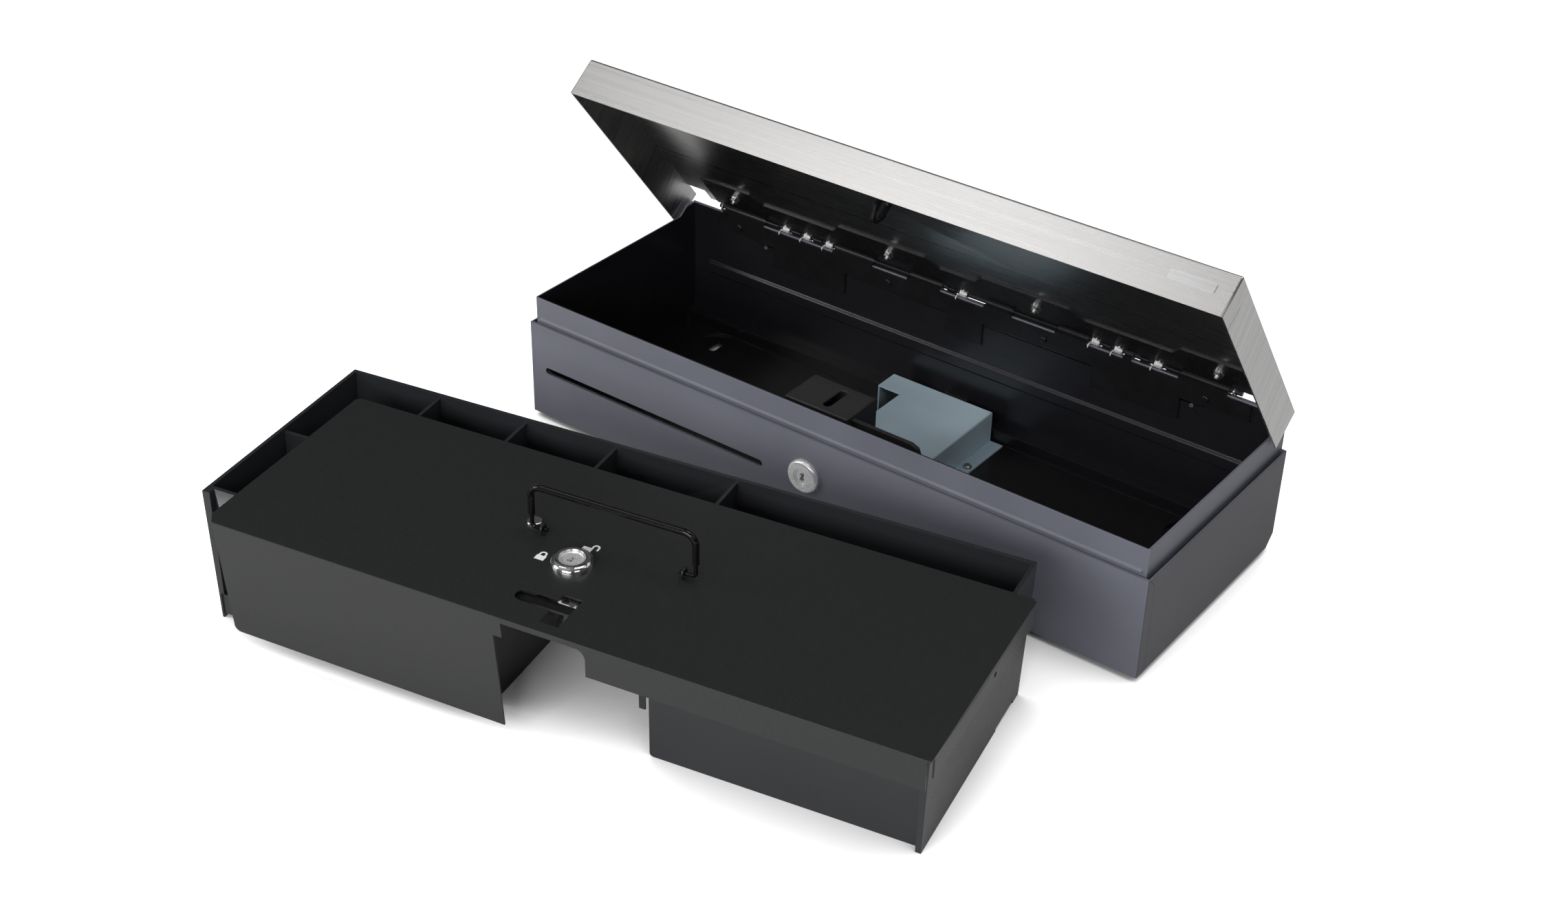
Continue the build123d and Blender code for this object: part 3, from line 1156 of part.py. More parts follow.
def make_lid_rivet():
    """Bright domed rivet beside the handle's left eye."""
    rivet = rod_z(*DISC_PLACE, TILL_LID_SHEET, TILL_LID_SHEET + 1.2, DISC_R)
    return TILL_LID * fillet(rivet.edges().group_by(Axis.Z)[-1], 0.9)


# ---------------------------------------------------------------- write every node
NODES = {
    "inner_tub": make_inner_tub,
    "front_panel": make_front_panel,
    "left_side_panel": lambda: make_side_panel(-1),
    "right_side_panel": lambda: make_side_panel(1),
    "rear_panel": make_rear_panel,
    "rubber_feet": make_rubber_feet,
    "casing_screws": make_casing_screws,
    "front_lock_barrel": make_front_lock_barrel,
    "front_lock_nut": make_front_lock_nut,
    "front_lock_plug": make_front_lock_plug,
    "front_lock_cam": make_front_lock_cam,
    "front_cam_screw": make_front_cam_screw,
    "latch_housing": make_latch_housing,
    "latch_pivot_pin": make_latch_pivot_pin,
    "latch_hook": make_latch_hook,
    "solenoid_frame": make_solenoid_frame,
    "solenoid_coil": make_solenoid_coil,
    "solenoid_plunger": make_solenoid_plunger,
    "plunger_pin": make_plunger_pin,
    "micro_switch": make_micro_switch,
    "switch_button": make_switch_button,
    "mechanism_cover": make_mechanism_cover,
    "cover_screws": make_cover_screws,
    "interface_board": make_interface_board,
    "board_spacers": make_board_spacers,
    "cable_socket": make_cable_socket,
    "wiring_loom": make_wiring_loom,
    "hinge_rod": make_hinge_rod,
    "hinge_base_leaf": make_hinge_base_leaf,
    "base_leaf_rivets": make_base_leaf_rivets,
    "hinge_springs": make_hinge_springs,
    "hinge_clips": make_hinge_clips,
    "lid_leaf": make_lid_leaf,
    "lid_leaf_studs": make_lid_leaf_studs,
    "lid_leaf_nuts": make_lid_leaf_nuts,
    "lid_shell": make_lid_shell,
    "lid_striker": make_lid_striker,
    "striker_rivets": make_striker_rivets,
    "lid_badge": make_lid_badge,
    "till_tray": make_till_tray,
    "note_dividers": make_note_dividers,
    "note_spring": make_note_spring,
    "till_lid_sheet": make_till_lid_sheet,
    "handle_eyes": make_handle_eyes,
    "handle_wire": make_handle_wire,
    "handle_sleeve": make_handle_sleeve,
    "till_lock_barrel": make_till_lock_barrel,
    "till_lock_nut": make_till_lock_nut,
    "till_lock_plug": make_till_lock_plug,
    "till_lock_cam": make_till_lock_cam,
    "till_lock_bolt": make_till_lock_bolt,
    "bolt_guides": make_bolt_guides,
    "stop_screw": make_stop_screw,
    "locating_tab": make_locating_tab,
    "lid_rivet": make_lid_rivet,
}

os.makedirs("parts", exist_ok=True)
for name, make in NODES.items():
    keep(name, make())
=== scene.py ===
import json
import math

import bmesh
import bpy
from mathutils import Matrix, Vector


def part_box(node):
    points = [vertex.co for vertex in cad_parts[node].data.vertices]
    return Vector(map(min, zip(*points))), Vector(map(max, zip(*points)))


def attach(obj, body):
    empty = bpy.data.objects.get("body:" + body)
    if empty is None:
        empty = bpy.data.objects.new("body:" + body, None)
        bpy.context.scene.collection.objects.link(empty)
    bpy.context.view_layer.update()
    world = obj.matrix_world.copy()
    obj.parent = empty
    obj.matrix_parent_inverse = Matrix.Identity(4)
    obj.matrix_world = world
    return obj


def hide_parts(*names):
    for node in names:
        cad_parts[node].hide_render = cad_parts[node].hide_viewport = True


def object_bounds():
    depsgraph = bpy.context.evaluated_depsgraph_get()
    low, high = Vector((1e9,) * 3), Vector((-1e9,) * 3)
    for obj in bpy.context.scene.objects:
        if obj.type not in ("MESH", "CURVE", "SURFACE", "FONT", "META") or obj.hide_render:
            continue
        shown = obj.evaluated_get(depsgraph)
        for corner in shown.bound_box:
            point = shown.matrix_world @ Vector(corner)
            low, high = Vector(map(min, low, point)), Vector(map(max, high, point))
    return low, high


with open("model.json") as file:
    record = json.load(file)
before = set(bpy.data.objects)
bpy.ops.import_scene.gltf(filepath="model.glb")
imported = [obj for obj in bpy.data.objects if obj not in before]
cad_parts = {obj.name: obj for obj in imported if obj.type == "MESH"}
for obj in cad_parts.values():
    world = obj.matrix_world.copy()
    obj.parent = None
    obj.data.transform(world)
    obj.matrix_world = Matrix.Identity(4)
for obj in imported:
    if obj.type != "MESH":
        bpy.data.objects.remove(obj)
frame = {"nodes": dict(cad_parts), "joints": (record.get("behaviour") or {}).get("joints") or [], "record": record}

# Looks for the flip-lid cash drawer: brushed steel lid, satin powder-coated casing, moulded till with
# its textured steel lid. Metres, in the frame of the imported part; millimetres carry MM.

MM = 0.001
CAD_BOX = [list(corner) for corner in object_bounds()]
JOINTS = {joint["name"]: joint for joint in frame["joints"]}
OPENINGS = {entry["name"]: entry["box_m"] for entry in frame["record"]["physics"]["openings"]}

# ------------------------------------------------------------------ camera
CAMERA_AZIMUTH = math.radians(36.954)
CAMERA_ELEVATION = math.radians(32.503)
CAMERA_ROLL = math.radians(0.978)
CAMERA_PLACE = Vector((0.642865, -0.990920, 0.787095))
CAMERA_LENS = 50.28
CAMERA_SHIFT = (0.0146, -0.0209)
SENSOR_WIDTH = 36.0
NEAR_CLIP = 0.01


def make_camera():
    """A long-lens view from the front right, above the counter."""
    a, e, r = CAMERA_AZIMUTH, CAMERA_ELEVATION, CAMERA_ROLL
    back = Vector((math.sin(a) * math.cos(e), -math.cos(a) * math.cos(e), math.sin(e)))
    right = Vector((math.cos(a), math.sin(a), 0.0))
    up = back.cross(right)
    axes = (right * math.cos(r) + up * math.sin(r), up * math.cos(r) - right * math.sin(r), back)
    data = bpy.data.cameras.new("camera")
    data.sensor_width = SENSOR_WIDTH
    data.lens = CAMERA_LENS
    data.shift_x, data.shift_y = CAMERA_SHIFT
    data.clip_start = NEAR_CLIP
    camera = bpy.data.objects.new("camera", data)
    camera.matrix_world = Matrix.Translation(CAMERA_PLACE) @ Matrix(axes).transposed().to_4x4()
    bpy.context.scene.collection.objects.link(camera)
    bpy.context.scene.camera = camera


# ------------------------------------------------------------------ studio
WORLD_LOW = (0.50, 0.51, 0.53)
WORLD_HIGH = (1.0, 1.0, 1.0)
WORLD_DARK = (0.35, 0.35, 0.37)
WORLD_STRENGTH = 0.25
DARK_SIDE = (-0.55, 0.72, 0.42)
DARK_RIGHT = (0.97, 0.0, 0.25)
DARK_FROM, DARK_TO = 0.25, 0.75
FLOOR_HALF = 4.0
FLOOR_WHITE = (0.93, 0.93, 0.93)
FLOOR_GLOW = 1.0
# reach and levels of the painted contact shadow in the floor's camera-only glow
CONTACT_REACH = 0.10
CONTACT_DARK, CONTACT_LIT = 0.30, 0.75
AIM = (0.0, -0.1, 0.05)
# name: place, width, height, watts
SOFTBOXES = {
    "lid_panel": ((-0.78, -0.5, 1.68), 0.24, 0.6, 1.6),
    "wide_panel": ((-0.85, -0.6, 1.7), 2.4, 1.6, 1.6),
    "overhead": ((0.35, 0.25, 2.0), 0.7, 0.9, 8),
    "front": ((0.3, -1.8, 0.8), 1.2, 0.6, 20),
    "key": ((-1.6, -1.4, 0.9), 0.9, 0.9, 14),
    "fill": ((1.5, -0.9, 1.2), 0.8, 0.8, 2.5),
    "back": ((1.0, 1.1, 1.4), 1.5, 1.3, 4),
}


def make_lights():
    """Rectangular soft lights, all aimed at the middle of the scene."""
    for name, (place, width, height, watts) in SOFTBOXES.items():
        data = bpy.data.lights.new(name, "AREA")
        data.shape = "RECTANGLE"
        data.size, data.size_y = width, height
        data.energy = watts
        light = bpy.data.objects.new(name, data)
        light.location = place
        light.rotation_euler = (Vector(AIM) - Vector(place)).to_track_quat("-Z", "Y").to_euler()
        bpy.context.scene.collection.objects.link(light)


def make_world():
    """Pale surroundings, brightest overhead, dimmer behind to the left and low on the right."""
    world = bpy.data.worlds.new("studio")
    bpy.context.scene.world = world
    world.use_nodes = True
    tree = world.node_tree
    nodes, links = tree.nodes, tree.links
    coords = nodes.new("ShaderNodeTexCoord")
    split = nodes.new("ShaderNodeSeparateXYZ")
    links.new(coords.outputs["Generated"], split.inputs[0])
    height = nodes.new("ShaderNodeValToRGB")
    height.color_ramp.elements[0].position = 0.0
    height.color_ramp.elements[0].color = (*WORLD_LOW, 1)
    height.color_ramp.elements[1].position = 0.9
    height.color_ramp.elements[1].color = (*WORLD_HIGH, 1)
    links.new(split.outputs["Z"], height.inputs[0])
    glow = height.outputs[0]
    for side in (DARK_SIDE, DARK_RIGHT):
        facing = nodes.new("ShaderNodeVectorMath")
        facing.operation = "DOT_PRODUCT"
        facing.inputs[1].default_value = side
        links.new(coords.outputs["Generated"], facing.inputs[0])
        dimmer = nodes.new("ShaderNodeValToRGB")
        dimmer.color_ramp.elements[0].position = DARK_FROM
        dimmer.color_ramp.elements[0].color = (1.0, 1.0, 1.0, 1)
        dimmer.color_ramp.elements[1].position = DARK_TO
        dimmer.color_ramp.elements[1].color = (*WORLD_DARK, 1)
        links.new(facing.outputs["Value"], dimmer.inputs[0])
        product = nodes.new("ShaderNodeVectorMath")
        product.operation = "MULTIPLY"
        links.new(glow, product.inputs[0])
        links.new(dimmer.outputs[0], product.inputs[1])
        glow = product.outputs[0]
    background = nodes["Background"]
    links.new(glow, background.inputs[0])
    background.inputs[1].default_value = WORLD_STRENGTH


def make_floor():
    """A plain white floor that glows for the camera only, so it looks overexposed; near the object ambient
    occlusion dims the glow, a painted contact shadow, so that only close shadows show.
    """
    mesh = bpy.data.meshes.new("floor")
    half = FLOOR_HALF
    level = CAD_BOX[0][2]
    corners = [(-half, -half, level), (half, -half, level), (half, half, level), (-half, half, level)]
    mesh.from_pydata(corners, [], [(0, 1, 2, 3)])
    floor = bpy.data.objects.new("floor", mesh)
    bpy.context.scene.collection.objects.link(floor)
    look = Look("floor")
    look.set(base=FLOOR_WHITE, roughness=0.6, specular=0.1)
    path = look.nodes.new("ShaderNodeLightPath")
    openness = look.nodes.new("ShaderNodeAmbientOcclusion")
    openness.samples = 12
    openness.inputs["Distance"].default_value = CONTACT_REACH
    # painted contact shadow: the glow fades with ambient occlusion near the object
    lit = look.ramp(openness.outputs["AO"], 0.0, 1.0, CONTACT_DARK, CONTACT_LIT)
    seen = look.math("MULTIPLY", look.math("MULTIPLY", path.outputs["Is Camera Ray"], FLOOR_GLOW), lit)
    look.bsdf.inputs["Emission Color"].default_value = (1, 1, 1, 1)
    look.links.new(seen, look.bsdf.inputs["Emission Strength"])
    mesh.materials.append(look.material)


# ------------------------------------------------------------------ materials
class Look:
    """A Principled material with small helpers for procedural detail, in the part's own coordinates."""

    def __init__(self, name):
        self.material = bpy.data.materials.new(name)
        self.material.use_nodes = True
        self.tree = self.material.node_tree
        self.nodes = self.tree.nodes
        self.links = self.tree.links
        self.bsdf = self.nodes["Principled BSDF"]
        self.coords = self.nodes.new("ShaderNodeTexCoord").outputs["Object"]

    def set(self, base=None, **values):
        """Plain values on the surface; names are the sockets' names in lower case."""
        sockets = {"roughness": "Roughness", "metallic": "Metallic", "specular": "Specular IOR Level",
                   "coat": "Coat Weight", "anisotropic": "Anisotropic"}
        if base is not None:
            self.bsdf.inputs["Base Color"].default_value = (*base, 1)
        for name, value in values.items():
            self.bsdf.inputs[sockets[name]].default_value = value

    def mapped(self, scale=(1, 1, 1), rotation=(0, 0, 0)):
        """The part's coordinates, turned and then stretched."""
        turn = self.nodes.new("ShaderNodeMapping")
        turn.inputs["Rotation"].default_value = rotation
        self.links.new(self.coords, turn.inputs["Vector"])
        stretch = self.nodes.new("ShaderNodeMapping")
        stretch.inputs["Scale"].default_value = scale
        self.links.new(turn.outputs[0], stretch.inputs["Vector"])
        return stretch.outputs[0]

    def noise(self, scale, detail=2.0, roughness=0.5, vector=None):
        """A noise value between 0 and 1."""
        node = self.nodes.new("ShaderNodeTexNoise")
        node.inputs["Scale"].default_value = scale
        node.inputs["Detail"].default_value = detail
        node.inputs["Roughness"].default_value = roughness
        self.links.new(vector if vector is not None else self.coords, node.inputs["Vector"])
        return node.outputs["Fac"]

    def ramp(self, value, low, high, start=0.3, end=0.7):
        """A colour or grey between low and high as value goes from start to end."""
        node = self.nodes.new("ShaderNodeValToRGB")
        first, last = node.color_ramp.elements
        first.position, last.position = start, end
        first.color = (*low, 1) if isinstance(low, tuple) else (low, low, low, 1)
        last.color = (*high, 1) if isinstance(high, tuple) else (high, high, high, 1)
        self.links.new(value, node.inputs[0])
        return node.outputs[0]

    def mix(self, factor, first, second):
        """Blend of two values or colours."""
        node = self.nodes.new("ShaderNodeMix")
        node.data_type = "RGBA"
        for socket, value in (("Factor", factor), ("A", first), ("B", second)):
            target = [s for s in node.inputs if s.name == socket and s.enabled][0]
            if isinstance(value, (int, float)) and socket == "Factor":
                target.default_value = value
            elif isinstance(value, tuple):
                target.default_value = (*value, 1)
            else:
                self.links.new(value, target)
        return [s for s in node.outputs if s.enabled][0]

    def math(self, operation, first, second=0.0):
        """One sum on two values."""
        node = self.nodes.new("ShaderNodeMath")
        node.operation = operation
        for i, value in enumerate((first, second)):
            if isinstance(value, (int, float)):
                node.inputs[i].default_value = value
            else:
                self.links.new(value, node.inputs[i])
        return node.outputs[0]

    def tint(self, value, low, high, start=0.3, end=0.7):
        """Drive the base colour from a value."""
        self.links.new(self.ramp(value, low, high, start, end), self.bsdf.inputs["Base Color"])

    def rough(self, value, low, high, start=0.3, end=0.7):
        """Drive the roughness from a value."""
        self.links.new(self.ramp(value, low, high, start, end), self.bsdf.inputs["Roughness"])

    def bump(self, height, depth, strength=1.0):
        """Raise the surface by depth metres where height is 1, over any bump already there."""
        node = self.nodes.new("ShaderNodeBump")
        node.inputs["Distance"].default_value = depth
        node.inputs["Strength"].default_value = strength
        self.links.new(height, node.inputs["Height"])
        normal = self.bsdf.inputs["Normal"]
        if normal.is_linked:
            self.links.new(normal.links[0].from_socket, node.inputs["Normal"])
        self.links.new(node.outputs[0], normal)

    def own_normal(self):
        """The face's direction in the part's own axes, split into X, Y and Z."""
        geometry = self.nodes.new("ShaderNodeNewGeometry")
        local = self.nodes.new("ShaderNodeVectorTransform")
        local.vector_type = "NORMAL"
        local.convert_from, local.convert_to = "WORLD", "OBJECT"
        self.links.new(geometry.outputs["True Normal"], local.inputs[0])
        split = self.nodes.new("ShaderNodeSeparateXYZ")
        self.links.new(local.outputs[0], split.inputs[0])
        return split.outputs

    def across_x(self):
        """1 on faces that look along X, 0 on all others."""
        return self.math("GREATER_THAN", self.math("ABSOLUTE", self.own_normal()["X"]), 0.7)

    def facing_up(self):
        """1 on faces that look up, 0 on all others."""
        return self.math("GREATER_THAN", self.own_normal()["Z"], 0.5)

    def grain_direction(self, along, along_side, side):
        """The brushing direction for the anisotropic gloss: one for the side faces, one for the rest."""
        mixer = self.nodes.new("ShaderNodeMix")
        mixer.data_type = "VECTOR"
        slots = [s for s in mixer.inputs if s.enabled]
        self.links.new(side, slots[0])
        slots[1].default_value = along
        slots[2].default_value = along_side
        world = self.nodes.new("ShaderNodeVectorTransform")
        world.vector_type = "VECTOR"
        world.convert_from, world.convert_to = "OBJECT", "WORLD"
        self.links.new([s for s in mixer.outputs if s.enabled][0], world.inputs[0])
        self.links.new(world.outputs[0], self.bsdf.inputs["Tangent"])


def shade(colour, amount):
    """The colour made darker or lighter."""
    return tuple(value * amount for value in colour)


def powder_coat(name, colour, roughness, grain=1500.0, depth=0.00003, specular=0.5, side_painted_shade=1.0):
    """Satin powder coat: fine orange peel, faint mottling; faces along X are darkened by a factor, a painted
    shade.
    """
    look = Look(name)
    look.set(specular=specular)
    mottle = look.noise(scale=18.0, detail=3.0)
    dark = shade(colour, 0.93)
    light = shade(colour, 1.07)
    front = look.ramp(mottle, dark, light)
    # painted shade: a darker copy of the same coat for the faces along X
    side = look.ramp(mottle, shade(dark, side_painted_shade), shade(light, side_painted_shade))
    look.links.new(look.mix(look.across_x(), front, side), look.bsdf.inputs["Base Color"])
    peel = look.noise(scale=grain, detail=2.0)
    look.rough(peel, roughness * 0.85, roughness * 1.15)
    look.bump(peel, depth)
    look.bump(look.noise(scale=grain / 6, detail=1.0), depth * 1.5)
    return look.material


def coat_with_shaded_inside(name, inside, outside, box, slot_top):
    """Gloss black inside, a painted shade of the deep well over one coat; the outer faces, close to the box's
    sides and top, take the casing's coat.
    The cut edges of the slot, below slot_top, stay black as painted shade of the slot."""
    look = Look(name)
    look.set(specular=0.6)
    split = look.nodes.new("ShaderNodeSeparateXYZ")
    look.links.new(look.coords, split.inputs[0])
    outer = look.math("GREATER_THAN", split.outputs["Z"], box[1][2] - COAT_REACH)
    for axis in (0, 1):
        below = look.math("LESS_THAN", split.outputs[axis], box[0][axis] + COAT_REACH)
        above = look.math("GREATER_THAN", split.outputs[axis], box[1][axis] - COAT_REACH)
        outer = look.math("MAXIMUM", outer, look.math("MAXIMUM", below, above))
    # painted shade: the slot's up-facing cut edges keep the near-black of the inside
    below_slot = look.math("LESS_THAN", split.outputs["Z"], slot_top)
    ledge = look.math("MULTIPLY", look.facing_up(), below_slot)
    outer = look.math("MULTIPLY", outer, look.math("SUBTRACT", 1.0, ledge))
    mottle = look.noise(scale=18.0, detail=3.0)
    # painted shade: the near-black inside stands in for the shade inside the well
    black = look.ramp(mottle, shade(inside, 0.93), shade(inside, 1.07))
    grey = look.ramp(mottle, shade(outside, 0.93), shade(outside, 1.07))
    look.links.new(look.mix(outer, black, grey), look.bsdf.inputs["Base Color"])
    look.links.new(look.ramp(outer, 0.27, 0.42, 0.4, 0.6), look.bsdf.inputs["Roughness"])
    peel = look.noise(scale=1500.0, detail=2.0)
    look.bump(peel, 0.00003)
    return look.material


def textured_coat(name, colour, roughness):
    """Coarse wrinkle coat of the till lid: close, rounded grains."""
    look = Look(name)
    look.set(specular=0.5)
    grains = look.nodes.new("ShaderNodeTexVoronoi")
    grains.inputs["Scale"].default_value = 1500.0
    look.links.new(look.coords, grains.inputs["Vector"])
    fine = look.noise(scale=2600.0, detail=2.0)
    look.tint(look.noise(scale=1200.0, detail=3.0), shade(colour, 0.8), shade(colour, 1.25))
    look.rough(fine, roughness * 0.85, roughness * 1.15)
    look.bump(grains.outputs["Distance"], 0.00005, 0.6)
    look.bump(fine, 0.00003, 0.6)
    return look.material


def moulded(name, colour, roughness, grain=900.0, depth=0.00002, specular=0.5):
    """Moulded plastic with a light spark-eroded grain and faint flow marks."""
    look = Look(name)
    look.set(specular=specular)
    flow = look.noise(scale=9.0, detail=4.0, vector=look.mapped(scale=(1.0, 2.2, 2.2)))
    look.tint(flow, shade(colour, 0.9), shade(colour, 1.12))
    grit = look.noise(scale=grain, detail=3.0)
    look.rough(grit, roughness * 0.85, roughness * 1.15)
    look.bump(grit, depth)
    return look.material


def brushed(name, colour, roughness, turn=0.0, lines=0.000012):
    """Sheet brushed along its length, with side faces brushed along their own length.
    turn is the sheet's tilt about X at rest."""
    look = Look(name)
    look.set(metallic=1.0, anisotropic=0.75)
    side = look.across_x()
    long_lines = look.noise(scale=1.0, detail=4.0, roughness=0.65,
                            vector=look.mapped(scale=(6.0, 2600.0, 2600.0)))
    side_lines = look.noise(scale=1.0, detail=4.0, roughness=0.65,
                            vector=look.mapped(scale=(1.0, 6.0, 2600.0), rotation=(turn, 0, 0)))
    fine = look.mix(side, long_lines, side_lines)
    long_bands = look.noise(scale=1.0, detail=2.0, vector=look.mapped(scale=(1.5, 420.0, 420.0)))
    side_bands = look.noise(scale=1.0, detail=2.0,
                            vector=look.mapped(scale=(1.0, 3.0, 420.0), rotation=(turn, 0, 0)))
    bands = look.mix(side, long_bands, side_bands)
    streaks = look.mix(0.5, fine, bands)
    cloud = look.noise(scale=5.0, detail=3.0)
    base = look.ramp(streaks, shade(colour, 0.80), shade(colour, 1.12), 0.3, 0.7)
    smudge = look.ramp(cloud, 0.94, 1.0)
    mixer = look.nodes.new("ShaderNodeMix")
    mixer.data_type = "RGBA"
    mixer.blend_type = "MULTIPLY"
    slots = [s for s in mixer.inputs if s.enabled]
    slots[0].default_value = 1.0
    look.links.new(base, slots[1])
    look.links.new(smudge, slots[2])
    look.links.new([s for s in mixer.outputs if s.enabled][0], look.bsdf.inputs["Base Color"])
    look.rough(streaks, roughness * 0.85, roughness * 1.15, 0.3, 0.7)
    look.bump(fine, lines)
    look.grain_direction((1, 0, 0), (0, math.cos(turn), -math.sin(turn)), side)
    return look.material


def plated(name, colour, roughness, blotch=0.12, metallic=1.0):
    """Zinc or nickel plate: faint blotches and fine scratches."""
    look = Look(name)
    look.set(metallic=metallic)
    spots = look.noise(scale=160.0, detail=4.0)
    look.tint(spots, shade(colour, 1 - blotch), colour)
    look.rough(look.noise(scale=700.0, detail=3.0), roughness * 0.7, roughness * 1.3)
    look.bump(look.noise(scale=1800.0, detail=2.0), 0.00001)
    return look.material


def polished(name, colour, roughness):
    """Chrome: nearly a mirror, with faint smears."""
    look = Look(name)
    look.set(metallic=1.0)
    smear = look.noise(scale=60.0, detail=3.0)
    look.tint(smear, shade(colour, 0.96), colour)
    look.rough(smear, roughness * 0.5, roughness * 1.6)
    return look.material


def black_oxide(name, colour, roughness):
    """Blackened steel with a dull metal gleam where it rubs."""
    look = Look(name)
    look.set(metallic=0.2, specular=0.5)
    rub = look.noise(scale=90.0, detail=5.0)
    look.tint(rub, colour, shade(colour, 1.5), 0.5, 0.9)
    look.rough(look.noise(scale=60.0, detail=2.0), roughness * 0.85, roughness * 1.15)
    look.bump(look.noise(scale=900.0, detail=1.0), 0.000003)
    return look.material


def rubber(name, colour):
    """Matt rubber with a dusty bloom."""
    look = Look(name)
    look.set(specular=0.3)
    bloom = look.noise(scale=45.0, detail=4.0)
    look.tint(bloom, colour, shade(colour, 1.8))
    look.rough(bloom, 0.72, 0.9)
    look.bump(look.noise(scale=1400.0, detail=3.0), 0.00003)
    return look.material


def taped_winding(name, colour):
    """Yellow film over a winding, whose turns show through as rings."""
    look = Look(name)
    turns = look.nodes.new("ShaderNodeTexWave")
    turns.bands_direction = "X"
    turns.inputs["Scale"].default_value = 420.0
    turns.inputs["Distortion"].default_value = 1.0
    look.links.new(look.coords, turns.inputs["Vector"])
    look.tint(turns.outputs["Fac"], shade(colour, 0.75), colour, 0.1, 0.9)
    look.set(roughness=0.28, coat=0.4)
    look.bump(turns.outputs["Fac"], 0.00004)
    return look.material


def circuit_board(name, colour):
    """Solder mask with copper tracks showing as a paler grid."""
    look = Look(name)
    tracks = look.nodes.new("ShaderNodeTexBrick")
    tracks.inputs["Scale"].default_value = 260.0
    tracks.inputs["Mortar Size"].default_value = 0.012
    tracks.inputs["Color1"].default_value = (*colour, 1)
    tracks.inputs["Color2"].default_value = (*shade(colour, 0.85), 1)
    tracks.inputs["Mortar"].default_value = (*shade(colour, 2.2), 1)
    look.links.new(look.coords, tracks.inputs["Vector"])
    look.links.new(tracks.outputs["Color"], look.bsdf.inputs["Base Color"])
    look.set(roughness=0.3, coat=0.3)
    look.bump(tracks.outputs["Fac"], 0.00003)
    return look.material


COAT_REACH = 1.1 * MM
SLOT_TOP = OPENINGS["media_slot"][1][2]
MARK_WHITE = (0.85, 0.85, 0.85)
LID_TILT = math.radians(JOINTS["lid_hinge"]["range_deg"][0])


def make_materials():
    """One material for each of the record's slots, by name."""
    c = {entry["slot"]: tuple(entry["base_color"]) for entry in frame["record"]["materials"]}
    return {
        # the casing's side faces get painted shade, at 0.4 of the coat's colour
        "casing_paint": powder_coat("casing_paint", c["casing_paint"], 0.42, side_painted_shade=0.4),
        # the tub's inside is painted near-black as the well's shade; its outside takes the casing's coat
        "tub_paint": coat_with_shaded_inside("tub_paint", c["tub_paint"], c["casing_paint"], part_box("inner_tub"),
                               SLOT_TOP + 2 * MM),
        "rubber": rubber("rubber", c["rubber"]),
        "zinc_steel": plated("zinc_steel", c["zinc_steel"], 0.28),
        "chrome": polished("chrome", c["chrome"], 0.07),
        "satin_nickel": plated("satin_nickel", c["satin_nickel"], 0.30, 0.04, 0.6),
        "spring_steel": plated("spring_steel", c["spring_steel"], 0.45, 0.05, 0.4),
        "black_steel": black_oxide("black_steel", c["black_steel"], 0.28),
        "black_plastic": moulded("black_plastic", c["black_plastic"], 0.45),
        "button_plastic": moulded("button_plastic", c["button_plastic"], 0.3),
        "coil_tape": taped_winding("coil_tape", c["coil_tape"]),
        "cover_paint": powder_coat("cover_paint", c["cover_paint"], 0.35, grain=900.0),
        "board_green": circuit_board("board_green", c["board_green"]),
        "white_nylon": moulded("white_nylon", c["white_nylon"], 0.4),
        "stainless": brushed("stainless", c["stainless"], 0.29, LID_TILT),
        "badge_metal": brushed("badge_metal", c["badge_metal"], 0.25, LID_TILT, 0.000006),
        "till_abs": moulded("till_abs", c["till_abs"], 0.33),
        "till_lid_paint": textured_coat("till_lid_paint", c["till_lid_paint"], 0.36),
        "handle_black": moulded("handle_black", c["handle_black"], 0.14, depth=0.000004, specular=0.3),
        "white_mark": moulded("white_mark", MARK_WHITE, 0.5),
    }


def dress_nodes(materials):
    """Give every CAD node its slot's material."""
    for entry in frame["record"]["subparts"]:
        node = frame["nodes"][entry["node"]]
        for place in node.material_slots:
            place.material = materials[entry["material_slot"]]
        if not node.material_slots:
            node.data.materials.append(materials[entry["material_slot"]])


# ------------------------------------------------------------------ pieces
SPRING_WIRE = 0.45 * MM
SPRING_RADIUS = 2.5 * MM
SPRING_PITCH = 0.95 * MM
STEPS_IN_TURN = 20
SPRING_PART_GAP = 8 * MM
# heights of the fixed leg below the rod's axis, then its bend over the leaf's rim, as (y, z)
FIXED_LEG_DROPS = (2.6 * MM, 1.4 * MM)
RIM_BEND = (0.4 * MM, -0.5 * MM)
COIL_START = (-3.0 * MM, -0.4 * MM)
# the moving leg with the lid shut, as (y, z) from the rod's axis
MOVING_LEG = (
    (-2.5 * MM, -0.3 * MM),
    (-5.9 * MM, -0.5 * MM),
    (-6.8 * MM, -1.35 * MM),
    (-9.0 * MM, -1.35 * MM),
)
TILL_LID_SHEET = 1.0 * MM
MARK_THICK = 0.06 * MM
# padlock signs in millimetres, from the till lock's centre
SHUT_SIGN = (-18.2, -2.6)
OPEN_SIGN = (0.3, 15.7)
SIGN_BODY = (2.9, -2.6, 1.4)
SHACKLE_OUTER = 2.3
SHACKLE_INNER = 1.2
SHACKLE_RISE = 1.4
SHACKLE_SWING = 4.0
SHACKLE_FREE_END = 0.3
SHACKLE_STEPS = 12
# bevel widths in millimetres
SOFT_EDGES = {"front_panel": 0.5, "left_side_panel": 0.4, "right_side_panel": 0.4, "inner_tub": 0.4,
              "mechanism_cover": 0.3, "latch_housing": 0.35, "till_lid_sheet": 0.6, "till_tray": 0.45,
              "note_dividers": 0.3, "lid_shell": 0.2, "rear_panel": 0.3, "cable_socket": 0.3,
              "micro_switch": 0.3}
WELD_REACH = 0.01 * MM
SHARP_ANGLE = math.radians(40)


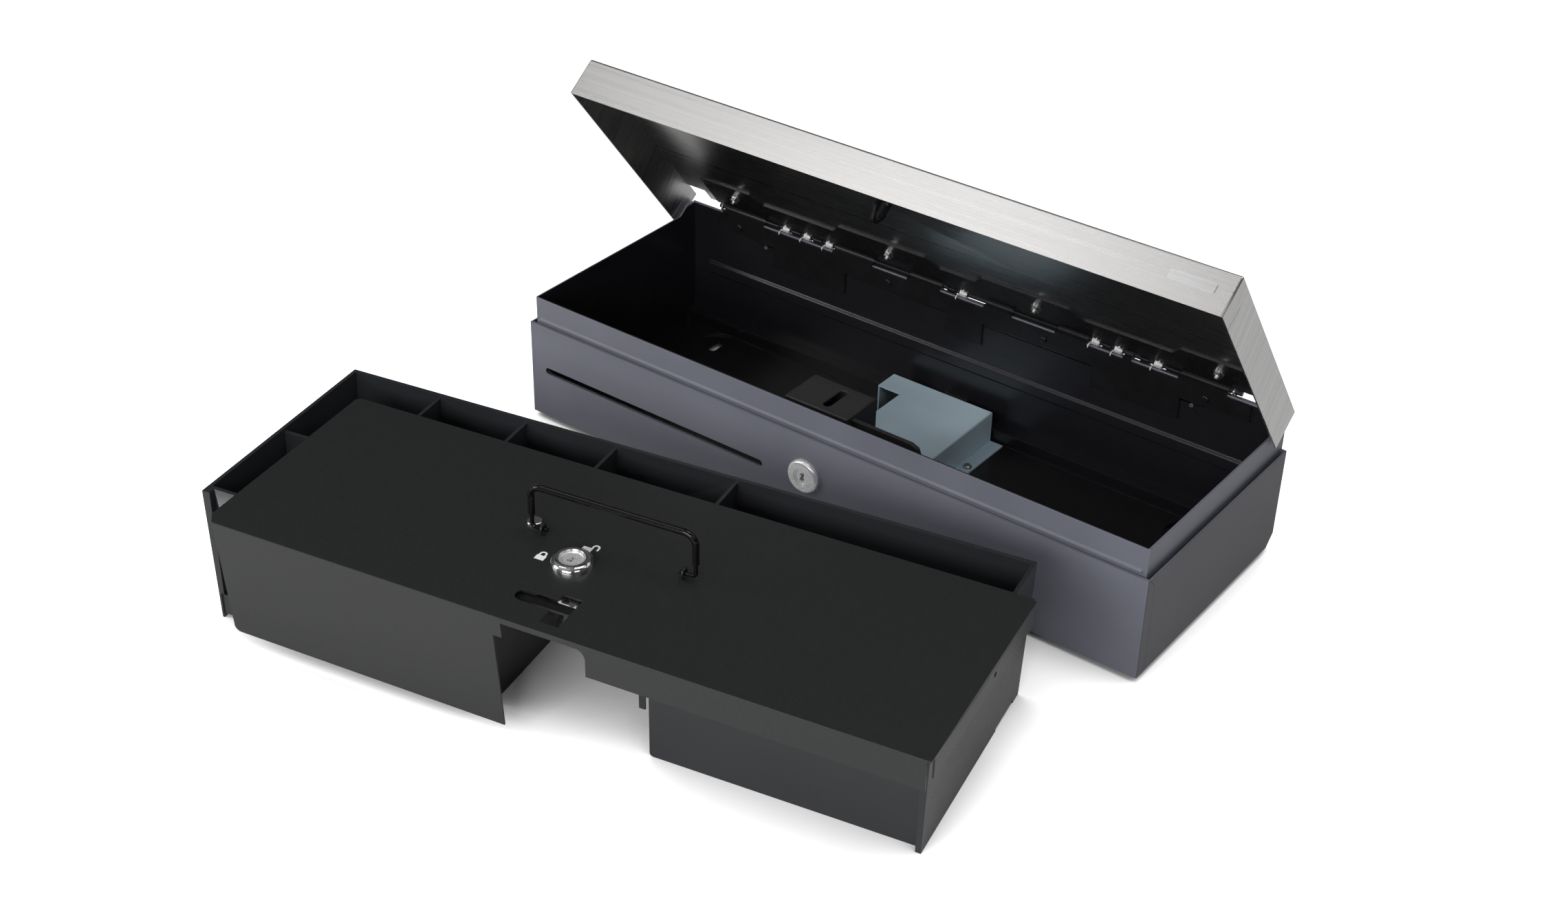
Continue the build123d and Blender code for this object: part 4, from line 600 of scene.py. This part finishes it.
def add_piece(name, vertices, faces, material, body, smooth=True):
    """A mesh piece that rides on one body."""
    mesh = bpy.data.meshes.new(name)
    mesh.from_pydata(vertices, [], faces)
    mesh.update()
    work = bmesh.new()
    work.from_mesh(mesh)
    bmesh.ops.recalc_face_normals(work, faces=work.faces)
    work.to_mesh(mesh)
    work.free()
    mesh.polygons.foreach_set("use_smooth", [smooth] * len(mesh.polygons))
    mesh.materials.append(material)
    piece = bpy.data.objects.new(name, mesh)
    bpy.context.scene.collection.objects.link(piece)
    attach(piece, body)
    return piece


def tube(path, radius, vertices, faces, sides=12):
    """Add a round wire with closed ends along a path of points."""
    first = len(vertices)
    up = Vector((1.0, 0.0, 0.0))
    for i, point in enumerate(path):
        ahead = path[min(i + 1, len(path) - 1)] - path[max(i - 1, 0)]
        across = ahead.cross(up).normalized()
        over = across.cross(ahead).normalized()
        for k in range(sides):
            angle = 2 * math.pi * k / sides
            vertices.append(point + radius * (across * math.cos(angle) + over * math.sin(angle)))
    for i in range(len(path) - 1):
        for k in range(sides):
            a = first + i * sides + k
            b = first + i * sides + (k + 1) % sides
            faces.append((a, b, b + sides, a + sides))
    faces.append(tuple(first + k for k in range(sides)))
    last = first + (len(path) - 1) * sides
    faces.append(tuple(last + k for k in reversed(range(sides))))


def spans_along_x(node):
    """The lowest and highest X of each separate part of a node, from left to right."""
    places = sorted({round(vertex.co.x, 5) for vertex in frame["nodes"][node].data.vertices})
    spans = [[places[0], places[0]]]
    for x in places:
        if x - spans[-1][1] > SPRING_PART_GAP:
            spans.append([x, x])
        spans[-1][1] = x
    return spans


def coil(start, end, axis_y, axis_z):
    """Points of the wound wire from one end of a spring to the other."""
    turns = round((end - start) / SPRING_PITCH)
    steps = turns * STEPS_IN_TURN
    points = []
    for i in range(steps + 1):
        angle = math.pi + 2 * math.pi * i / steps * turns
        points.append(Vector((start + (end - start) * i / steps, axis_y + SPRING_RADIUS * math.cos(angle),
                              axis_z + SPRING_RADIUS * math.sin(angle))))
    return points


def make_springs(material):
    """Wound springs on the hinge rod, each with a leg down the casing and a leg along the lid."""
    axis_y, axis_z = JOINTS["lid_hinge"]["pos_m"][1:]
    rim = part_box("hinge_base_leaf")[0][1]
    coils, coil_faces, legs, leg_faces = [], [], [], []
    opened = Matrix.Rotation(LID_TILT, 4, "X")
    pivot = Vector((0.0, axis_y, axis_z))
    for left, right in spans_along_x("hinge_springs"):
        start, end = left + SPRING_WIRE, right - SPRING_WIRE
        path = [Vector((start, rim - SPRING_WIRE, axis_z - drop)) for drop in FIXED_LEG_DROPS]
        path.append(Vector((start, rim + RIM_BEND[0], axis_z + RIM_BEND[1])))
        path.append(Vector((start, axis_y + COIL_START[0], axis_z + COIL_START[1])))
        path += coil(start, end, axis_y, axis_z)
        tube(path, SPRING_WIRE, coils, coil_faces)
        shut = [Vector((end, axis_y + y, axis_z + z)) for y, z in MOVING_LEG]
        tube([pivot + opened @ (point - pivot) for point in shut], SPRING_WIRE, legs, leg_faces)
    springs = add_piece("spring_coils", coils, coil_faces, material, "casing")
    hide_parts("hinge_springs")
    add_piece("spring_lid_legs", legs, leg_faces, material, "lid")


def flat_mark(outline, vertices, faces, place):
    """Add a thin plate with the outline, which runs anticlockwise."""
    first = len(vertices)
    count = len(outline)
    for level in (0.0, MARK_THICK):
        for u, v in outline:
            vertices.append(place(u, v, level))
    faces.append(tuple(first + count + i for i in range(count)))
    faces.append(tuple(first + i for i in reversed(range(count))))
    for i in range(count):
        after = (i + 1) % count
        faces.append((first + i, first + after, first + count + after, first + count + i))


def half_ring(middle, radius, base):
    """Points over the top of a shackle from its left to its right, in millimetres."""
    sweep = [math.pi - math.pi * i / SHACKLE_STEPS for i in range(SHACKLE_STEPS + 1)]
    return [(middle + radius * math.cos(a), base + SHACKLE_RISE + radius * math.sin(a)) for a in sweep]


def padlock(centre, opened, vertices, faces, place):
    """Add a flat padlock sign: a body and a shackle, which swings to the right when opened."""
    def put(outline):
        flat_mark([(centre[0] + u, centre[1] + v) for u, v in outline], vertices, faces, place)

    half, low, base = SIGN_BODY
    put([(-half, low), (half, low), (half, base), (-half, base)])
    middle = SHACKLE_SWING if opened else 0.0
    end = SHACKLE_FREE_END if opened else base
    outer = [(middle - SHACKLE_OUTER, base)] + half_ring(middle, SHACKLE_OUTER, base)
    inner = half_ring(middle, SHACKLE_INNER, base)[::-1] + [(middle - SHACKLE_INNER, base)]
    put(outer + [(middle + SHACKLE_OUTER, end), (middle + SHACKLE_INNER, end)] + inner)


def make_padlocks(material):
    """Two signs beside the till lid's lock: shut at its left, open behind it."""
    along = -Vector(JOINTS["bolt_slide"]["axis"])
    inward = Vector((0.0, 0.0, 1.0)).cross(along)
    lock = Vector(JOINTS["till_lock_turn"]["pos_m"])
    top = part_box("till_lock_nut")[1][2] + TILL_LID_SHEET

    def place(u, v, level):
        point = lock + along * (u * MM) + inward * (v * MM)
        return Vector((point.x, point.y, top + level))

    vertices, faces = [], []
    padlock(SHUT_SIGN, False, vertices, faces, place)
    padlock(OPEN_SIGN, True, vertices, faces, place)
    add_piece("lock_signs", vertices, faces, material, "till_lid", smooth=False)


def soften_edges():
    """A small radius on every sharp edge of the folded and moulded nodes, so that edges catch light."""
    for name, width in SOFT_EDGES.items():
        node = frame["nodes"][name]
        weld = node.modifiers.new("weld", "WELD")
        weld.merge_threshold = WELD_REACH
        bevel = node.modifiers.new("soft_edges", "BEVEL")
        bevel.width = width * MM
        bevel.segments = 2
        bevel.limit_method = "ANGLE"
        bevel.angle_limit = SHARP_ANGLE
        bevel.use_clamp_overlap = True
        bevel.harden_normals = False


make_camera()
make_world()
make_floor()
MATERIALS = make_materials()
dress_nodes(MATERIALS)
make_lights()
make_springs(MATERIALS["spring_steel"])
make_padlocks(MATERIALS["white_mark"])
soften_edges()
bpy.context.scene.view_settings.view_transform = "Standard"
